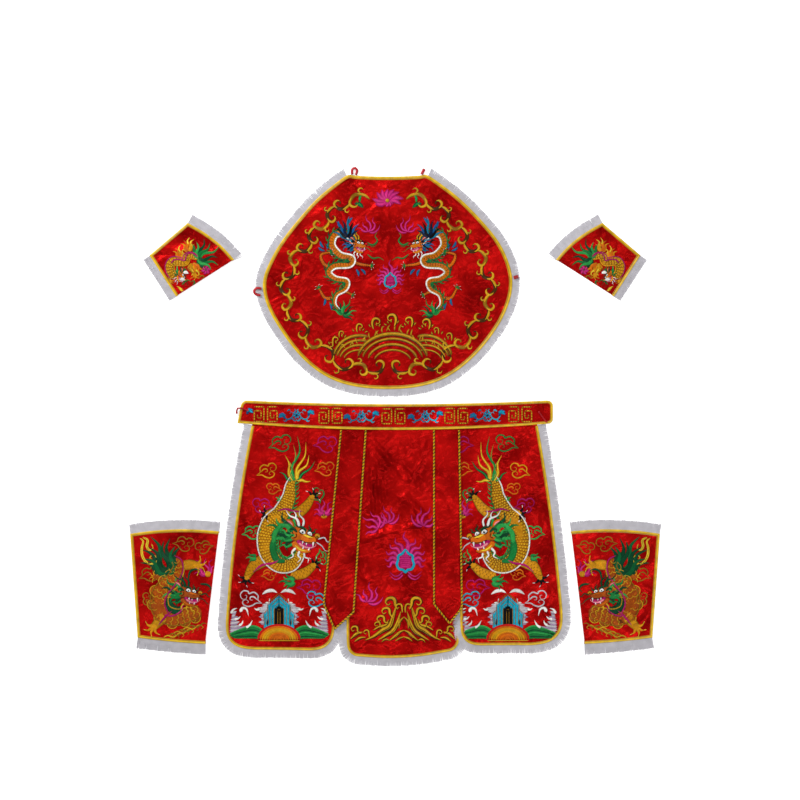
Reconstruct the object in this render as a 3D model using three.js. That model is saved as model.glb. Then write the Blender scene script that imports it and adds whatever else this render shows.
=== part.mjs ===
import * as THREE from 'three';

// A six-piece ritual costume set laid flat: bib, skirt, two leg guards and two cuffs.
// Millimetres. +Z is up, +Y points to the neck of the bib, and the cloth lies on Z = 0.

// Driving dimensions of the cloth
const CLOTH = 1.2;
const BAND_CLOTH = 1.6;
const SEAM = 0.3;
const TAPE = 0.8;
const LAP = 10;
const FOLD_RADIUS = 0.6;

// Widths of the binding tape on each piece
const BIB_TAPE = 8.8;
const WAIST_TAPE = 5.5;
const SKIRT_TAPE = 6.3;
const GUARD_TAPE = 9;
const CUFF_TAPE = 8.8;

// Fringe: a narrow strip sewn beside the tape, with locks of thread
const STRIP_WIDTH = 5;
const STRIP_LOW = 0.3;
const STRIP_HIGH = 1.3;
const LOCK_TIP = 0.6;
const LOCK_SHARE = 0.84;
const LOCK_TAPER = 0.9;
const LOCK_VARIES = 0.06;
const LOCK_LEAN = 1.2;
const BIB_PITCH = 24;
const SKIRT_PITCH = 31;
const GUARD_PITCH = 24;

// Heights in the skirt, where the pieces lie on each other
const SIDE_LIFT = 2.7;
const SIDE_PLATEAU = 55;
const SIDE_RAMP = 50;
const RIBBON_OUTER = 5.5;
const RIBBON_INNER = 3.5;
const ROPE_RADIUS = 2;
const ROPE_SIDES = 6;

// Rouleau loops, wide and flat in section
const LOOP_WIDTH = 6.4;
const LOOP_HEIGHT = 4.4;
const LOOP_SIDES = 8;
const TIE_RADIUS = 2.2;

const COLOURS = {
  satin: 0xc4120f,
  tape: 0xcf9f14,
  fringe: 0xc9c4c6,
  rope: 0xa88a2c,
  loop: 0xa3101a,
};

const mix = THREE.MathUtils.lerp;
const ease = THREE.MathUtils.smoothstep;
const point = (x, y) => new THREE.Vector2(x, y);
const rightOf = (direction) => point(direction.y, -direction.x);
const range = (first, last) => [...Array(last - first + 1).keys()].map((k) => first + k);

// Solids from sections and faces
function solidGeometry(positions, faces) {
  const triangles = faces.flatMap((face) =>
    face.slice(2).map((last, k) => [face[0], face[k + 1], last]));
  const volume = triangles.reduce((sum, [a, b, c]) => {
    const normal = positions[b].clone().cross(positions[c]);
    return sum + positions[a].dot(normal);
  }, 0);
  const outward = volume > 0 ? triangles : triangles.map(([a, b, c]) => [a, c, b]);
  const geometry = new THREE.BufferGeometry().setFromPoints(positions);
  geometry.setIndex(outward.flat());
  geometry.computeVertexNormals();
  return geometry;
}

function loftGeometry(sections, closed = false) {
  const size = sections[0].length;
  const count = sections.length;
  const faces = [];
  for (let i = 0; i < (closed ? count : count - 1); i += 1) {
    const here = i * size;
    const next = ((i + 1) % count) * size;
    for (let k = 0; k < size; k += 1) {
      const l = (k + 1) % size;
      faces.push([here + k, here + l, next + l, next + k]);
    }
  }
  if (!closed) {
    const rest = range(1, size - 1);
    faces.push([0, ...rest.reverse()]);
    faces.push(range((count - 1) * size, count * size - 1));
  }
  return solidGeometry(sections.flat(), faces);
}

// Outlines: rings of points that run anticlockwise from the lower left corner
const BEND_STEPS = 2;

function stepTowards(from, to, distance) {
  return from.clone().add(to.clone().sub(from).setLength(distance || 1e-9));
}

function bend(corner, before, after) {
  const start = stepTowards(corner, before, corner.round);
  const end = stepTowards(corner, after, corner.round);
  const middle = start.clone().add(end).addScaledVector(corner, 2).divideScalar(4);
  const before2 = start.clone().lerp(corner, 0.5);
  const after2 = corner.clone().lerp(end, 0.5);
  return {
    start: corner.round ? start : corner.clone(),
    end: corner.round ? end : corner.clone(),
    into: new THREE.QuadraticBezierCurve(start, before2, middle),
    outOf: new THREE.QuadraticBezierCurve(middle, after2, end),
  };
}

function bowedSide(start, end, bow) {
  const middle = start.clone().lerp(end, 0.5);
  middle.addScaledVector(rightOf(end.clone().sub(start).normalize()), 2 * bow);
  return new THREE.QuadraticBezierCurve(start, middle, end);
}

function evenShares(count, length, leadIn, leadOut) {
  const first = leadIn / length;
  const last = 1 - leadOut / length;
  const inner = count - (leadIn ? 1 : 0) - (leadOut ? 1 : 0);
  const shares = range(0, inner).map((k) => mix(first, last, k / inner));
  return [...(leadIn ? [0] : []), ...shares, ...(leadOut ? [1] : [])];
}

// Each row is a corner: its place, rounding, and the bow of the side that follows it
function cornerRing(rows, counts) {
  const corners = rows.map((row) => Object.assign(point(row.x, row.y), row));
  const bends = corners.map((corner, k) => bend(corner, corners[(k + 3) % 4], corners[(k + 1) % 4]));
  return corners.flatMap((corner, k) => {
    const next = corners[(k + 1) % 4];
    const here = bends[k];
    const there = bends[(k + 1) % 4];
    const straight = counts[k] - (corner.round ? BEND_STEPS : 0) - (next.round ? BEND_STEPS : 0);
    const side = bowedSide(here.end, there.start, corner.bow || 0);
    const shares = corner.shares
      || evenShares(straight, side.getLength(), corner.leadIn || 0, corner.leadOut || 0);
    return [
      ...(corner.round ? here.outOf.getPoints(BEND_STEPS).slice(0, -1) : []),
      ...shares.slice(0, -1).map((share) => side.getPoint(share)),
      ...(next.round ? there.into.getPoints(BEND_STEPS).slice(0, -1) : []),
    ];
  });
}

// The outward step at each point of a ring, long enough to keep the sides parallel
function ringSteps(ring) {
  const size = ring.length;
  return ring.map((here, k) => {
    const before = rightOf(here.clone().sub(ring[(k + size - 1) % size]).normalize());
    const after = rightOf(ring[(k + 1) % size].clone().sub(here).normalize());
    const middle = before.clone().add(after).normalize();
    return middle.divideScalar(Math.max(0.5, middle.dot(after)));
  });
}

function insetRing(ring, width) {
  const steps = ringSteps(ring);
  return ring.map((here, k) => here.clone().addScaledVector(steps[k], -width));
}

// A cut of cloth: its outline, the line where the tape ends, and a grid between
function averageShares(count, first, second) {
  const lengths = [first, second].map((line) => {
    const sums = [0];
    for (let k = 1; k <= count; k += 1) {
      sums.push(sums[k - 1] + line(k).distanceTo(line(k - 1)));
    }
    return sums.map((sum) => sum / sums[count]);
  });
  return lengths[0].map((share, k) => (share + lengths[1][k]) / 2);
}

function clothCut(outer, inner, cols, rows) {
  const size = outer.length;
  const points = [...outer, ...inner];
  const border = (i, j) => {
    if (j === 0) return i;
    if (i === cols) return cols + j;
    if (j === rows) return 2 * cols + rows - i;
    return i === 0 ? size - j : -1;
  };
  const at = (i, j) => inner[border(i, j) % size];
  const across = averageShares(cols, (i) => at(i, 0), (i) => at(i, rows));
  const up = averageShares(rows, (j) => at(0, j), (j) => at(cols, j));
  const index = [];
  for (let i = 0; i <= cols; i += 1) {
    index.push([]);
    for (let j = 0; j <= rows; j += 1) {
      const k = border(i, j);
      index[i].push(k >= 0 ? size + (k % size) : points.length);
      if (k < 0) {
        const u = across[i];
        const v = up[j];
        const here = at(i, 0).clone().lerp(at(i, rows), v);
        here.add(at(0, j).clone().lerp(at(cols, j), u));
        const low = at(0, 0).clone().lerp(at(cols, 0), u);
        const high = at(0, rows).clone().lerp(at(cols, rows), u);
        points.push(here.sub(low.lerp(high, v)));
      }
    }
  }
  const faces = [];
  for (let i = 0; i < cols; i += 1) {
    for (let j = 0; j < rows; j += 1) {
      faces.push([index[i][j], index[i + 1][j], index[i + 1][j + 1], index[i][j + 1]]);
    }
  }
  for (let k = 0; k < size; k += 1) {
    const next = (k + 1) % size;
    faces.push([k, next, size + next, size + k]);
  }
  return { outer, inner, points, faces, steps: ringSteps(outer) };
}

// place(where, height) puts a point of the cut in space, height above the cloth's inner face
function wallGeometry(cut, place, thickness) {
  const count = cut.points.length;
  const size = cut.outer.length;
  const positions = [0, thickness].flatMap((height) => cut.points.map((p) => place(p, height)));
  const faces = cut.faces.flatMap(([a, b, c, d]) => [
    [a + count, b + count, c + count, d + count],
    [a, d, c, b],
  ]);
  for (let k = 0; k < size; k += 1) {
    const next = (k + 1) % size;
    faces.push([k, next, next + count, k + count]);
  }
  return solidGeometry(positions, faces);
}

// Tape folded over the edge: it covers the face for its width and runs down the rim
function tapeGeometry(cut, place, thickness, stretch = null) {
  const size = cut.outer.length;
  const low = thickness + SEAM;
  const high = low + TAPE;
  const sections = (stretch || range(0, size - 1)).map((k) => k % size).map((k) => {
    const edge = cut.outer[k];
    const face = cut.inner[k];
    const moved = (distance, height) => {
      const step = cut.steps[k].clone().multiplyScalar(distance);
      return place(edge, height).add(new THREE.Vector3(step.x, step.y, 0));
    };
    return [
      moved(SEAM, low),
      place(face, low),
      place(face, high),
      moved(SEAM + TAPE, high),
      moved(SEAM + TAPE, 0),
      moved(SEAM, 0),
    ];
  });
  return loftGeometry(sections, stretch === null);
}

// A flat band of tape on the face alone, for cloth that is folded in half
function faceTapeGeometry(cut, place, thickness, stretch) {
  const size = cut.outer.length;
  const low = thickness + SEAM;
  return loftGeometry(stretch.map((k) => k % size).map((k) => [
    place(cut.outer[k], low),
    place(cut.inner[k], low),
    place(cut.inner[k], low + TAPE),
    place(cut.outer[k], low + TAPE),
  ]));
}

// A comb of thread locks on a narrow strip that follows a stretch of the outline
function fringeGeometry(cut, place, size, stretch) {
  const ringSize = cut.outer.length;
  const low = size.low ?? STRIP_LOW;
  const high = size.high ?? STRIP_HIGH;
  const tip = size.tip ?? (() => LOCK_TIP);
  const stations = stretch.map((k) => k % ringSize).map((k) => ({
    edge: cut.outer[k],
    step: cut.steps[k],
    inside: cut.outer[k].clone().addScaledVector(cut.steps[k], size.gap),
    outside: cut.outer[k].clone().addScaledVector(cut.steps[k], size.gap + STRIP_WIDTH),
  }));
  const positions = [];
  const faces = [];
  const pair = (where) => {
    positions.push(place(where, low), place(where, high));
    return positions.length - 2;
  };
  const inside = stations.map((station) => pair(station.inside));
  const outside = stations.map((station) => pair(station.outside));
  let count = 0;
  for (let i = 0; i + 1 < stations.length; i += 1) {
    const here = stations[i];
    const next = stations[i + 1];
    const locks = Math.round(here.outside.distanceTo(next.outside) / size.pitch(here.edge));
    const edge = [outside[i]];
    for (let j = 0; j < locks; j += 1) {
      const shares = [-1, 1].map((side) => (j + 0.5 + side * LOCK_SHARE / 2) / locks);
      const roots = shares.map((share) => here.outside.clone().lerp(next.outside, share));
      const outward = here.step.clone().lerp(next.step, (j + 0.5) / locks).normalize();
      const along = point(-outward.y, outward.x);
      const reach = size.length(here.edge) - STRIP_WIDTH;
      const length = reach * (1 + LOCK_VARIES * Math.sin(2.1 * count));
      const lean = LOCK_LEAN * Math.sin(1.7 * count);
      const middle = roots[0].clone().lerp(roots[1], 0.5);
      const tips = roots.map((root) => {
        const where = middle.clone().lerp(root, LOCK_TAPER * (size.spread ?? 1));
        where.addScaledVector(outward, length).addScaledVector(along, lean);
        positions.push(place(where, tip(here.edge)));
        return positions.length - 1;
      });
      const [first, last] = roots.map(pair);
      faces.push([first + 1, tips[0], tips[1], last + 1]);
      faces.push([last, tips[1], tips[0], first]);
      faces.push([first, tips[0], first + 1]);
      faces.push([last, last + 1, tips[1]]);
      faces.push([edge[edge.length - 1], first, first + 1, edge[edge.length - 1] + 1]);
      edge.push(first, last);
      count += 1;
    }
    faces.push([edge[edge.length - 1], outside[i + 1], outside[i + 1] + 1, edge[edge.length - 1] + 1]);
    edge.push(outside[i + 1], inside[i + 1]);
    faces.push([inside[i] + 1, ...edge.map((k) => k + 1)]);
    faces.push([inside[i], ...[...edge].reverse()]);
    faces.push([inside[i + 1], inside[i], inside[i] + 1, inside[i + 1] + 1]);
  }
  const end = stations.length - 1;
  faces.push([inside[0], outside[0], outside[0] + 1, inside[0] + 1]);
  faces.push([outside[end], inside[end], inside[end] + 1, outside[end] + 1]);
  return solidGeometry(positions, faces);
}

// A rope or rouleau of even section swept along a route with level sides
function sweptGeometry(route, sides, halfWidth, halfHeight) {
  const sections = route.map((here, k) => {
    const before = route[Math.max(0, k - 1)];
    const after = route[Math.min(route.length - 1, k + 1)];
    const into = point(here.x - before.x, here.y - before.y);
    const outOf = point(after.x - here.x, after.y - here.y);
    const first = (into.length() ? into : outOf).clone().normalize();
    const last = (outOf.length() ? outOf : into).clone().normalize();
    const middle = rightOf(first).add(rightOf(last)).normalize();
    middle.divideScalar(Math.max(0.5, middle.dot(rightOf(last))));
    return range(0, sides - 1).map((side) => {
      const angle = (side + 0.5) * 2 * Math.PI / sides;
      const out = halfWidth * Math.cos(angle);
      return new THREE.Vector3(
        here.x + middle.x * out, here.y + middle.y * out, here.z + halfHeight * Math.sin(angle));
    });
  });
  return loftGeometry(sections);
}

// Soft folds: each row is a ridge with its middle, length, heading, width and height
function foldHeight(folds, where) {
  return folds.reduce((sum, fold) => {
    const heading = THREE.MathUtils.degToRad(fold.heading);
    const dx = where.x - fold.x;
    const dy = where.y - fold.y;
    const along = (dx * Math.cos(heading) + dy * Math.sin(heading)) / (fold.length / 2);
    const across = (dy * Math.cos(heading) - dx * Math.sin(heading)) / (fold.width / 2);
    if (Math.abs(along) >= 1 || Math.abs(across) >= 1) return sum;
    return sum + fold.height * (1 - along * along) * (0.5 + 0.5 * Math.cos(Math.PI * across));
  }, 0);
}

function edgeFade(cut, where, near, far) {
  const size = cut.outer.length;
  const closest = cut.outer.reduce((best, start, k) => {
    const line = cut.outer[(k + 1) % size].clone().sub(start);
    const share = THREE.MathUtils.clamp(where.clone().sub(start).dot(line) / line.lengthSq(), 0, 1);
    return Math.min(best, where.distanceTo(start.clone().addScaledVector(line, share)));
  }, Infinity);
  return ease(closest, near, far);
}

function flatPlace(lift) {
  return (where, height) => new THREE.Vector3(where.x, where.y, lift(where) + height);
}

// The parts list
const layout = new THREE.Group();

function add(name, geometry, colour, roughness = 0.6) {
  const material = new THREE.MeshStandardMaterial({ color: colour, roughness, metalness: 0 });
  const mesh = new THREE.Mesh(geometry, material);
  mesh.name = name;
  layout.add(mesh);
}

const addSatin = (name, geometry) => add(name, geometry, COLOURS.satin, 0.4);
const addTape = (name, geometry) => add(name, geometry, COLOURS.tape, 0.5);
const addFringe = (name, geometry) => add(name, geometry, COLOURS.fringe, 0.7);

// Bib: widths to the left and right of its middle line, from the neck down to the lowest point
const BIB_MIDDLE = -19;
const BIB_NECK_DIP = 4;
const BIB_BOTTOM = 71;
const BIB_SHAPE = [
  { y: 603.7, left: 101, right: 101 },
  { y: 547.5, left: 173, right: 178 },
  { y: 472.5, left: 239, right: 251 },
  { y: 435, left: 266, right: 278 },
  { y: 397.5, left: 288, right: 298 },
  { y: 335, left: 311, right: 312 },
  { y: 272.5, left: 297, right: 298 },
  { y: 225, left: 271, right: 274 },
  { y: 177.5, left: 238, right: 239 },
  { y: 140, left: 204, right: 203 },
  { y: 107.5, left: 162, right: 160 },
  { y: 85, left: 113, right: 112 },
  { y: 73.5, left: 55, right: 55 },
];
const BIB_CORNER_ROW = 8;
const BIB_COLS = 14;
const BIB_ROWS = 14;
const BIB_FOLDS = [
  { x: -19, y: 335, length: 560, heading: 90, width: 90, height: 2.6 },
  { x: -150, y: 343, length: 320, heading: 2, width: 80, height: 2.4 },
  { x: 120, y: 340, length: 300, heading: -2, width: 80, height: 2 },
  { x: -75, y: 520, length: 170, heading: 35, width: 75, height: 2.4 },
  { x: 190, y: 240, length: 200, heading: 60, width: 80, height: 2.8 },
  { x: -200, y: 235, length: 170, heading: -50, width: 80, height: 2.2 },
];

function bibCut() {
  const left = BIB_SHAPE.map((row) => point(BIB_MIDDLE - row.left, row.y));
  const right = BIB_SHAPE.map((row) => point(BIB_MIDDLE + row.right, row.y));
  const spaced = (points, count) => {
    const line = new THREE.SplineCurve(points);
    return line.getSpacedPoints(count).slice(0, -1);
  };
  const bottom = [
    ...left.slice(BIB_CORNER_ROW),
    point(BIB_MIDDLE, BIB_BOTTOM),
    ...right.slice(BIB_CORNER_ROW).reverse(),
  ];
  const neck = bowedSide(right[0], left[0], -BIB_NECK_DIP);
  const ring = [
    ...spaced(bottom, BIB_COLS),
    ...spaced(right.slice(0, BIB_CORNER_ROW + 1).reverse(), BIB_ROWS),
    ...neck.getPoints(BIB_COLS).slice(0, -1),
    ...spaced(left.slice(0, BIB_CORNER_ROW + 1), BIB_ROWS),
  ];
  return clothCut(ring, insetRing(ring, BIB_TAPE), BIB_COLS, BIB_ROWS);
}

const TAPE_FADE = [12, 45];
const BIB_FRINGE_LOW = 17.5;
const BIB_FRINGE_SIDE = 19.5;
const BIB_FRINGE_TURN = [90, 260];
const bib = bibCut();
const bibPlace = flatPlace((p) => foldHeight(BIB_FOLDS, p) * edgeFade(bib, p, ...TAPE_FADE));
const FLAT_GAP = TAPE + 2 * SEAM;
const bibNeckEnd = 2 * BIB_COLS + BIB_ROWS;
const bibFringeSize = {
  gap: FLAT_GAP,
  pitch: () => BIB_PITCH,
  length: (edge) => mix(BIB_FRINGE_LOW, BIB_FRINGE_SIDE, ease(edge.y, ...BIB_FRINGE_TURN)),
};
addSatin('bib_panel', wallGeometry(bib, bibPlace, CLOTH));
addTape('bib_binding', tapeGeometry(bib, bibPlace, CLOTH));
addFringe('bib_fringe', fringeGeometry(
  bib, flatPlace(() => 0), bibFringeSize, range(bibNeckEnd, bib.outer.length + BIB_COLS + BIB_ROWS)));

// Rouleau loops of the bib: two stand open and two are drawn closed
function loopRoute(loop) {
  const turn = THREE.MathUtils.degToRad(loop.heading);
  const ahead = point(Math.cos(turn), Math.sin(turn));
  const aside = point(-ahead.y, ahead.x);
  const round = range(0, 6).map((k) => {
    const angle = Math.PI * (k / 6 - 0.5);
    return [loop.leg + loop.half * loop.nose * Math.cos(angle), loop.half * Math.sin(angle)];
  });
  return [[0, -loop.root], ...round, [0, loop.root]].map(([forward, sideways]) => {
    const where = point(loop.x, loop.y).addScaledVector(ahead, forward);
    where.addScaledVector(aside, sideways);
    return new THREE.Vector3(where.x, where.y, loop.z + LOOP_HEIGHT / 2);
  });
}

const OVER_FRINGE = STRIP_HIGH + SEAM;
const OPEN_LOOPS = [
  { name: 'bib_loop_neck_left', x: -102.5, y: 605.4, z: 0, heading: 82, leg: 9.5, half: 6.4,
    root: 4.6, nose: 1.1 },
  { name: 'bib_loop_side_left', x: -334.6, y: 312.5, z: OVER_FRINGE, heading: 172, leg: 8, half: 8.4,
    root: 8.4, nose: 1.1 },
];
OPEN_LOOPS.forEach((loop) => {
  const geometry = sweptGeometry(loopRoute(loop), LOOP_SIDES, LOOP_WIDTH / 2, LOOP_HEIGHT / 2);
  add(loop.name, geometry, COLOURS.loop);
});

const CLOSED_LOOPS = [
  { name: 'bib_loop_neck_right', x: 66.5, y: 606.2, z: 0, toX: 73, toY: 620, wide: 8 },
  { name: 'bib_loop_side_right', x: 296.6, y: 347.6, z: OVER_FRINGE, toX: 308, toY: 351, wide: 9 },
];
CLOSED_LOOPS.forEach((loop) => {
  const height = loop.z + LOOP_HEIGHT / 2;
  const route = [0, 0.5, 0.85, 1].map((share) =>
    new THREE.Vector3(mix(loop.x, loop.toX, share), mix(loop.y, loop.toY, share), height));
  add(loop.name, sweptGeometry(route, LOOP_SIDES, loop.wide / 2, LOOP_HEIGHT / 2), COLOURS.loop);
});

// Waistband: its lower edge sags in the middle, and it rides over the panels and ribbons
const BAND_LOW = -31;
const BAND_SAG = 16;
const BAND_HALF = 392;
const bandLow = (x) => BAND_LOW + BAND_SAG * (x / BAND_HALF) ** 2;

// Each row is a station across the band and how high its lower edge rides there
const BAND_STATIONS = [
  { x: -392.5, lift: 0 },
  { x: -374, lift: 0.8 },
  { x: -357, lift: 1.6 },
  { x: -315, lift: 1.6 },
  { x: -270, lift: 1.6 },
  { x: -212, lift: 1.6 },
  { x: -161, lift: 4.4 },
  { x: -138, lift: 7.1 },
  { x: -104, lift: 7.1 },
  { x: -71, lift: 5.2 },
  { x: -57, lift: 1.7 },
  { x: -20, lift: 1.7 },
  { x: 20, lift: 1.7 },
  { x: 60, lift: 1.7 },
  { x: 82, lift: 1.7 },
  { x: 95, lift: 5.2 },
  { x: 129, lift: 7.1 },
  { x: 163, lift: 7.1 },
  { x: 206, lift: 4.4 },
  { x: 257, lift: 1.6 },
  { x: 300, lift: 1.6 },
  { x: 333, lift: 1.6 },
  { x: 360, lift: 1.6 },
  { x: 378, lift: 0.8 },
];
const BAND_FULL = 19;
const BAND_FREE = 42;

function bandLift(where) {
  const last = BAND_STATIONS.length - 1;
  const next = BAND_STATIONS.findIndex((station) => station.x > where.x);
  const right = BAND_STATIONS[next < 0 ? last : Math.max(1, next)];
  const left = BAND_STATIONS[(next < 0 ? last : Math.max(1, next)) - 1];
  const share = THREE.MathUtils.clamp((where.x - left.x) / (right.x - left.x), 0, 1);
  const above = where.y - bandLow(where.x);
  return mix(left.lift, right.lift, share) * (1 - ease(above, BAND_FULL, BAND_FREE));
}

const BAND_ROWS = 6;
const BAND_ROUND = 14;
const BAND_LEFT = -392.5;
const BAND_TOP_LEFT = -382;
const BAND_RIGHT = 393.5;
const BAND_TOP = 40;
const BAND_TOP_DIP = 9;

function bandCut() {
  const lastX = BAND_RIGHT - BAND_ROUND;
  const inner = BAND_STATIONS.map((station) => station.x);
  const lowShares = [...inner, lastX].map((x) => (x - BAND_LEFT) / (lastX - BAND_LEFT));
  const firstX = BAND_TOP_LEFT + BAND_ROUND;
  const topXs = [lastX, ...inner.filter((x) => x > firstX + BAND_ROUND).reverse(), firstX];
  const topShares = topXs.map((x) => (lastX - x) / (lastX - firstX));
  const cols = lowShares.length - 1 + BEND_STEPS;
  const ring = cornerRing([
    { x: BAND_LEFT, y: -14, round: 0, bow: BAND_SAG, shares: lowShares },
    { x: BAND_RIGHT, y: -16, round: BAND_ROUND },
    { x: BAND_RIGHT, y: BAND_TOP, round: BAND_ROUND, bow: -BAND_TOP_DIP, shares: topShares },
    { x: BAND_TOP_LEFT, y: BAND_TOP, round: BAND_ROUND },
  ], [cols, BAND_ROWS, cols, BAND_ROWS]);
  return clothCut(ring, insetRing(ring, WAIST_TAPE), cols, BAND_ROWS);
}

const band = bandCut();
const bandPlace = flatPlace(bandLift);
addSatin('waistband', wallGeometry(band, bandPlace, BAND_CLOTH));
addTape('waistband_binding', tapeGeometry(band, bandPlace, BAND_CLOTH));

// Cords at the ends of the waistband
const tieHeight = BAND_CLOTH + SEAM + TAPE + SEAM + TIE_RADIUS;
const LEFT_TIE = [
  { x: -366, y: 16.5, z: tieHeight },
  { x: -376, y: 19.5, z: tieHeight + 0.2 },
  { x: -386, y: 23, z: tieHeight + 0.2 },
  { x: -393.5, y: 21.5, z: tieHeight - 0.8 },
  { x: -396, y: 15, z: tieHeight - 1.8 },
  { x: -395.4, y: 8, z: TIE_RADIUS + 0.4 },
];
const RIGHT_TIE = [
  { x: 359, y: 14, z: BAND_CLOTH + SEAM + TIE_RADIUS + 0.9 },
  { x: 366, y: 3, z: tieHeight + 0.6 },
  { x: 373, y: -6, z: tieHeight + 1.6 },
  { x: 379, y: -13.5, z: tieHeight + 1.2 },
];
const tieRoute = (rows) => rows.map((row) => new THREE.Vector3(row.x, row.y, row.z));
const tieGeometry = (rows) => sweptGeometry(tieRoute(rows), LOOP_SIDES, TIE_RADIUS, TIE_RADIUS);
add('waist_tie_left', tieGeometry(LEFT_TIE), COLOURS.loop);
add('waist_tie_right', tieGeometry(RIGHT_TIE), COLOURS.loop);

// Skirt panels: the corners run anticlockwise, and LEAD marks where the waistband ends
const LEAD = LAP + TAPE + 5 * SEAM;
const SKIRT_COLS = 10;
const SKIRT_ROWS = 15;
const topOf = (x) => bandLow(x) + LAP;
const SKIRT_PANELS = {
  left: [
    { x: -431, y: -579, round: 74 },
    { x: -157, y: -583, round: 54, leadOut: LEAD },
    { x: -105, y: topOf(-105), round: 0 },
    { x: -354.5, y: topOf(-354.5), round: 0, bow: 9, leadIn: LEAD },
  ],
  centre: [
    { x: -119, y: -600, round: 38, bow: 8 },
    { x: 160, y: -585, round: 36, leadOut: LEAD },
    { x: 150, y: topOf(150), round: 0 },
    { x: -128, y: topOf(-128), round: 0, leadIn: LEAD },
  ],
  right: [
    { x: 166, y: -570, round: 46 },
    { x: 429, y: -569, round: 88, bow: 6, leadOut: LEAD },
    { x: 353.5, y: topOf(353.5), round: 0 },
    { x: 150, y: topOf(150), round: 0, leadIn: LEAD },
  ],
};
const SKIRT_FOLDS = {
  left: [
    { x: -330, y: -150, length: 250, heading: 75, width: 90, height: 3 },
    { x: -260, y: -330, length: 260, heading: 100, width: 90, height: 2.6 },
    { x: -350, y: -420, length: 200, heading: 60, width: 85, height: 2.8 },
  ],
  centre: [
    { x: 15, y: -285, length: 230, heading: 21, width: 64, height: 7 },
    { x: 30, y: -122, length: 230, heading: -32, width: 62, height: 5 },
    { x: -62, y: -190, length: 240, heading: 86, width: 58, height: 5 },
    { x: 70, y: -105, length: 130, heading: 62, width: 56, height: 4 },
    { x: -10, y: -480, length: 190, heading: -12, width: 70, height: 3 },
    { x: 60, y: -400, length: 170, heading: 70, width: 64, height: 2.6 },
  ],
  right: [
    { x: 330, y: -140, length: 240, heading: 105, width: 90, height: 3 },
    { x: 270, y: -330, length: 240, heading: 80, width: 90, height: 2.6 },
    { x: 350, y: -400, length: 210, heading: 120, width: 85, height: 2.8 },
  ],
};

// Ribbons: plain strips with a pointed end that hang between the panels, edged with rope
const RIBBON_ROWS = 10;
const RIBBONS = {
  left: { topOuter: -132.2, topInner: -75.2, outerX: -175.5, outerY: -466, innerX: -106, innerY: -486,
    tipX: -150.8, tipY: -527, ropeOuter: 6.4, ropeCorner: 7, ropeTip: 7.7 },
  right: { topOuter: 157.8, topInner: 99.8, outerX: 165, outerY: -475, innerX: 100, innerY: -467,
    tipX: 136.5, tipY: -512.5, ropeOuter: 7.4, ropeCorner: 7.5, ropeTip: 6.9 },
};
const ROPE_OFFSET = SEAM + ROPE_RADIUS;

// Folds of the centre panel die away before they reach the ribbons
const RIBBON_CLEAR = [18, 42];
function betweenRibbons(where) {
  const line = (row) => {
    const share = (where.y - BAND_LOW) / (row.innerY - BAND_LOW);
    return mix(row.topInner, row.innerX, share);
  };
  const inside = Math.min(where.x - line(RIBBONS.left), line(RIBBONS.right) - where.x);
  return ease(inside, ...RIBBON_CLEAR);
}

function lineDistance(where, start, end) {
  const along = end.clone().sub(start).normalize();
  return Math.abs(where.clone().sub(start).dot(rightOf(along)));
}

function beyond(where, start, end) {
  const along = end.clone().sub(start).normalize();
  return where.clone().sub(start).dot(rightOf(along));
}

// The inner edge of each side panel rides over the centre panel
function sideLift(panel) {
  const rows = SKIRT_PANELS[panel];
  const [low, high] = panel === 'left' ? [rows[1], rows[2]] : [rows[0], rows[3]];
  const start = point(low.x, low.y);
  const end = point(high.x, high.y);
  const outside = panel === 'left' ? 1 : -1;
  return (where) => {
    const depth = beyond(where, start, end) * outside > 0 ? 0 : lineDistance(where, start, end);
    return SIDE_LIFT * (1 - ease(depth, SIDE_PLATEAU, SIDE_PLATEAU + SIDE_RAMP));
  };
}

const liftOf = { left: sideLift('left'), centre: () => 0, right: sideLift('right') };
const INNER_FRINGE_TOP = -440;
const SKIRT_FRINGE = 19.5;
const SKIRT_FADE = [14, 50];
['centre', 'left', 'right'].forEach((panel) => {
  const ring = cornerRing(SKIRT_PANELS[panel], [SKIRT_COLS, SKIRT_ROWS, SKIRT_COLS, SKIRT_ROWS]);
  const cut = clothCut(ring, insetRing(ring, SKIRT_TAPE), SKIRT_COLS, SKIRT_ROWS);
  const size = ring.length;
  const lift = liftOf[panel];
  const clear = panel === 'centre' ? betweenRibbons : () => 1;
  const place = flatPlace((p) =>
    lift(p) + foldHeight(SKIRT_FOLDS[panel], p) * edgeFade(cut, p, ...SKIRT_FADE) * clear(p));
  const firstLeft = 2 * SKIRT_COLS + SKIRT_ROWS + 1;
  const lastRight = size + SKIRT_COLS + SKIRT_ROWS - 1;
  const wholeEdge = range(firstLeft, lastRight);
  const shown = (k) => ring[k % size].y < INNER_FRINGE_TOP;
  const corner = size + SKIRT_COLS;
  const fringed = {
    left: wholeEdge.filter((k) => k <= corner || shown(k)),
    centre: wholeEdge.filter(shown),
    right: wholeEdge.filter((k) => k >= size || shown(k)),
  };
  const fringeSize = {
    gap: FLAT_GAP,
    pitch: () => SKIRT_PITCH,
    length: () => SKIRT_FRINGE,
  };
  addSatin(`skirt_panel_${panel}`, wallGeometry(cut, place, CLOTH));
  addTape(`skirt_binding_${panel}`, tapeGeometry(cut, flatPlace(lift), CLOTH, wholeEdge));
  addFringe(`skirt_fringe_${panel}`, fringeGeometry(
    cut, flatPlace(lift), fringeSize, fringed[panel]));
});

function ribbonSide(topX, lowX, lowY, height) {
  return range(0, RIBBON_ROWS).map((k) => {
    const share = k / RIBBON_ROWS;
    return new THREE.Vector3(mix(topX, lowX, share), mix(topOf(topX), lowY, share), height);
  });
}

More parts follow.
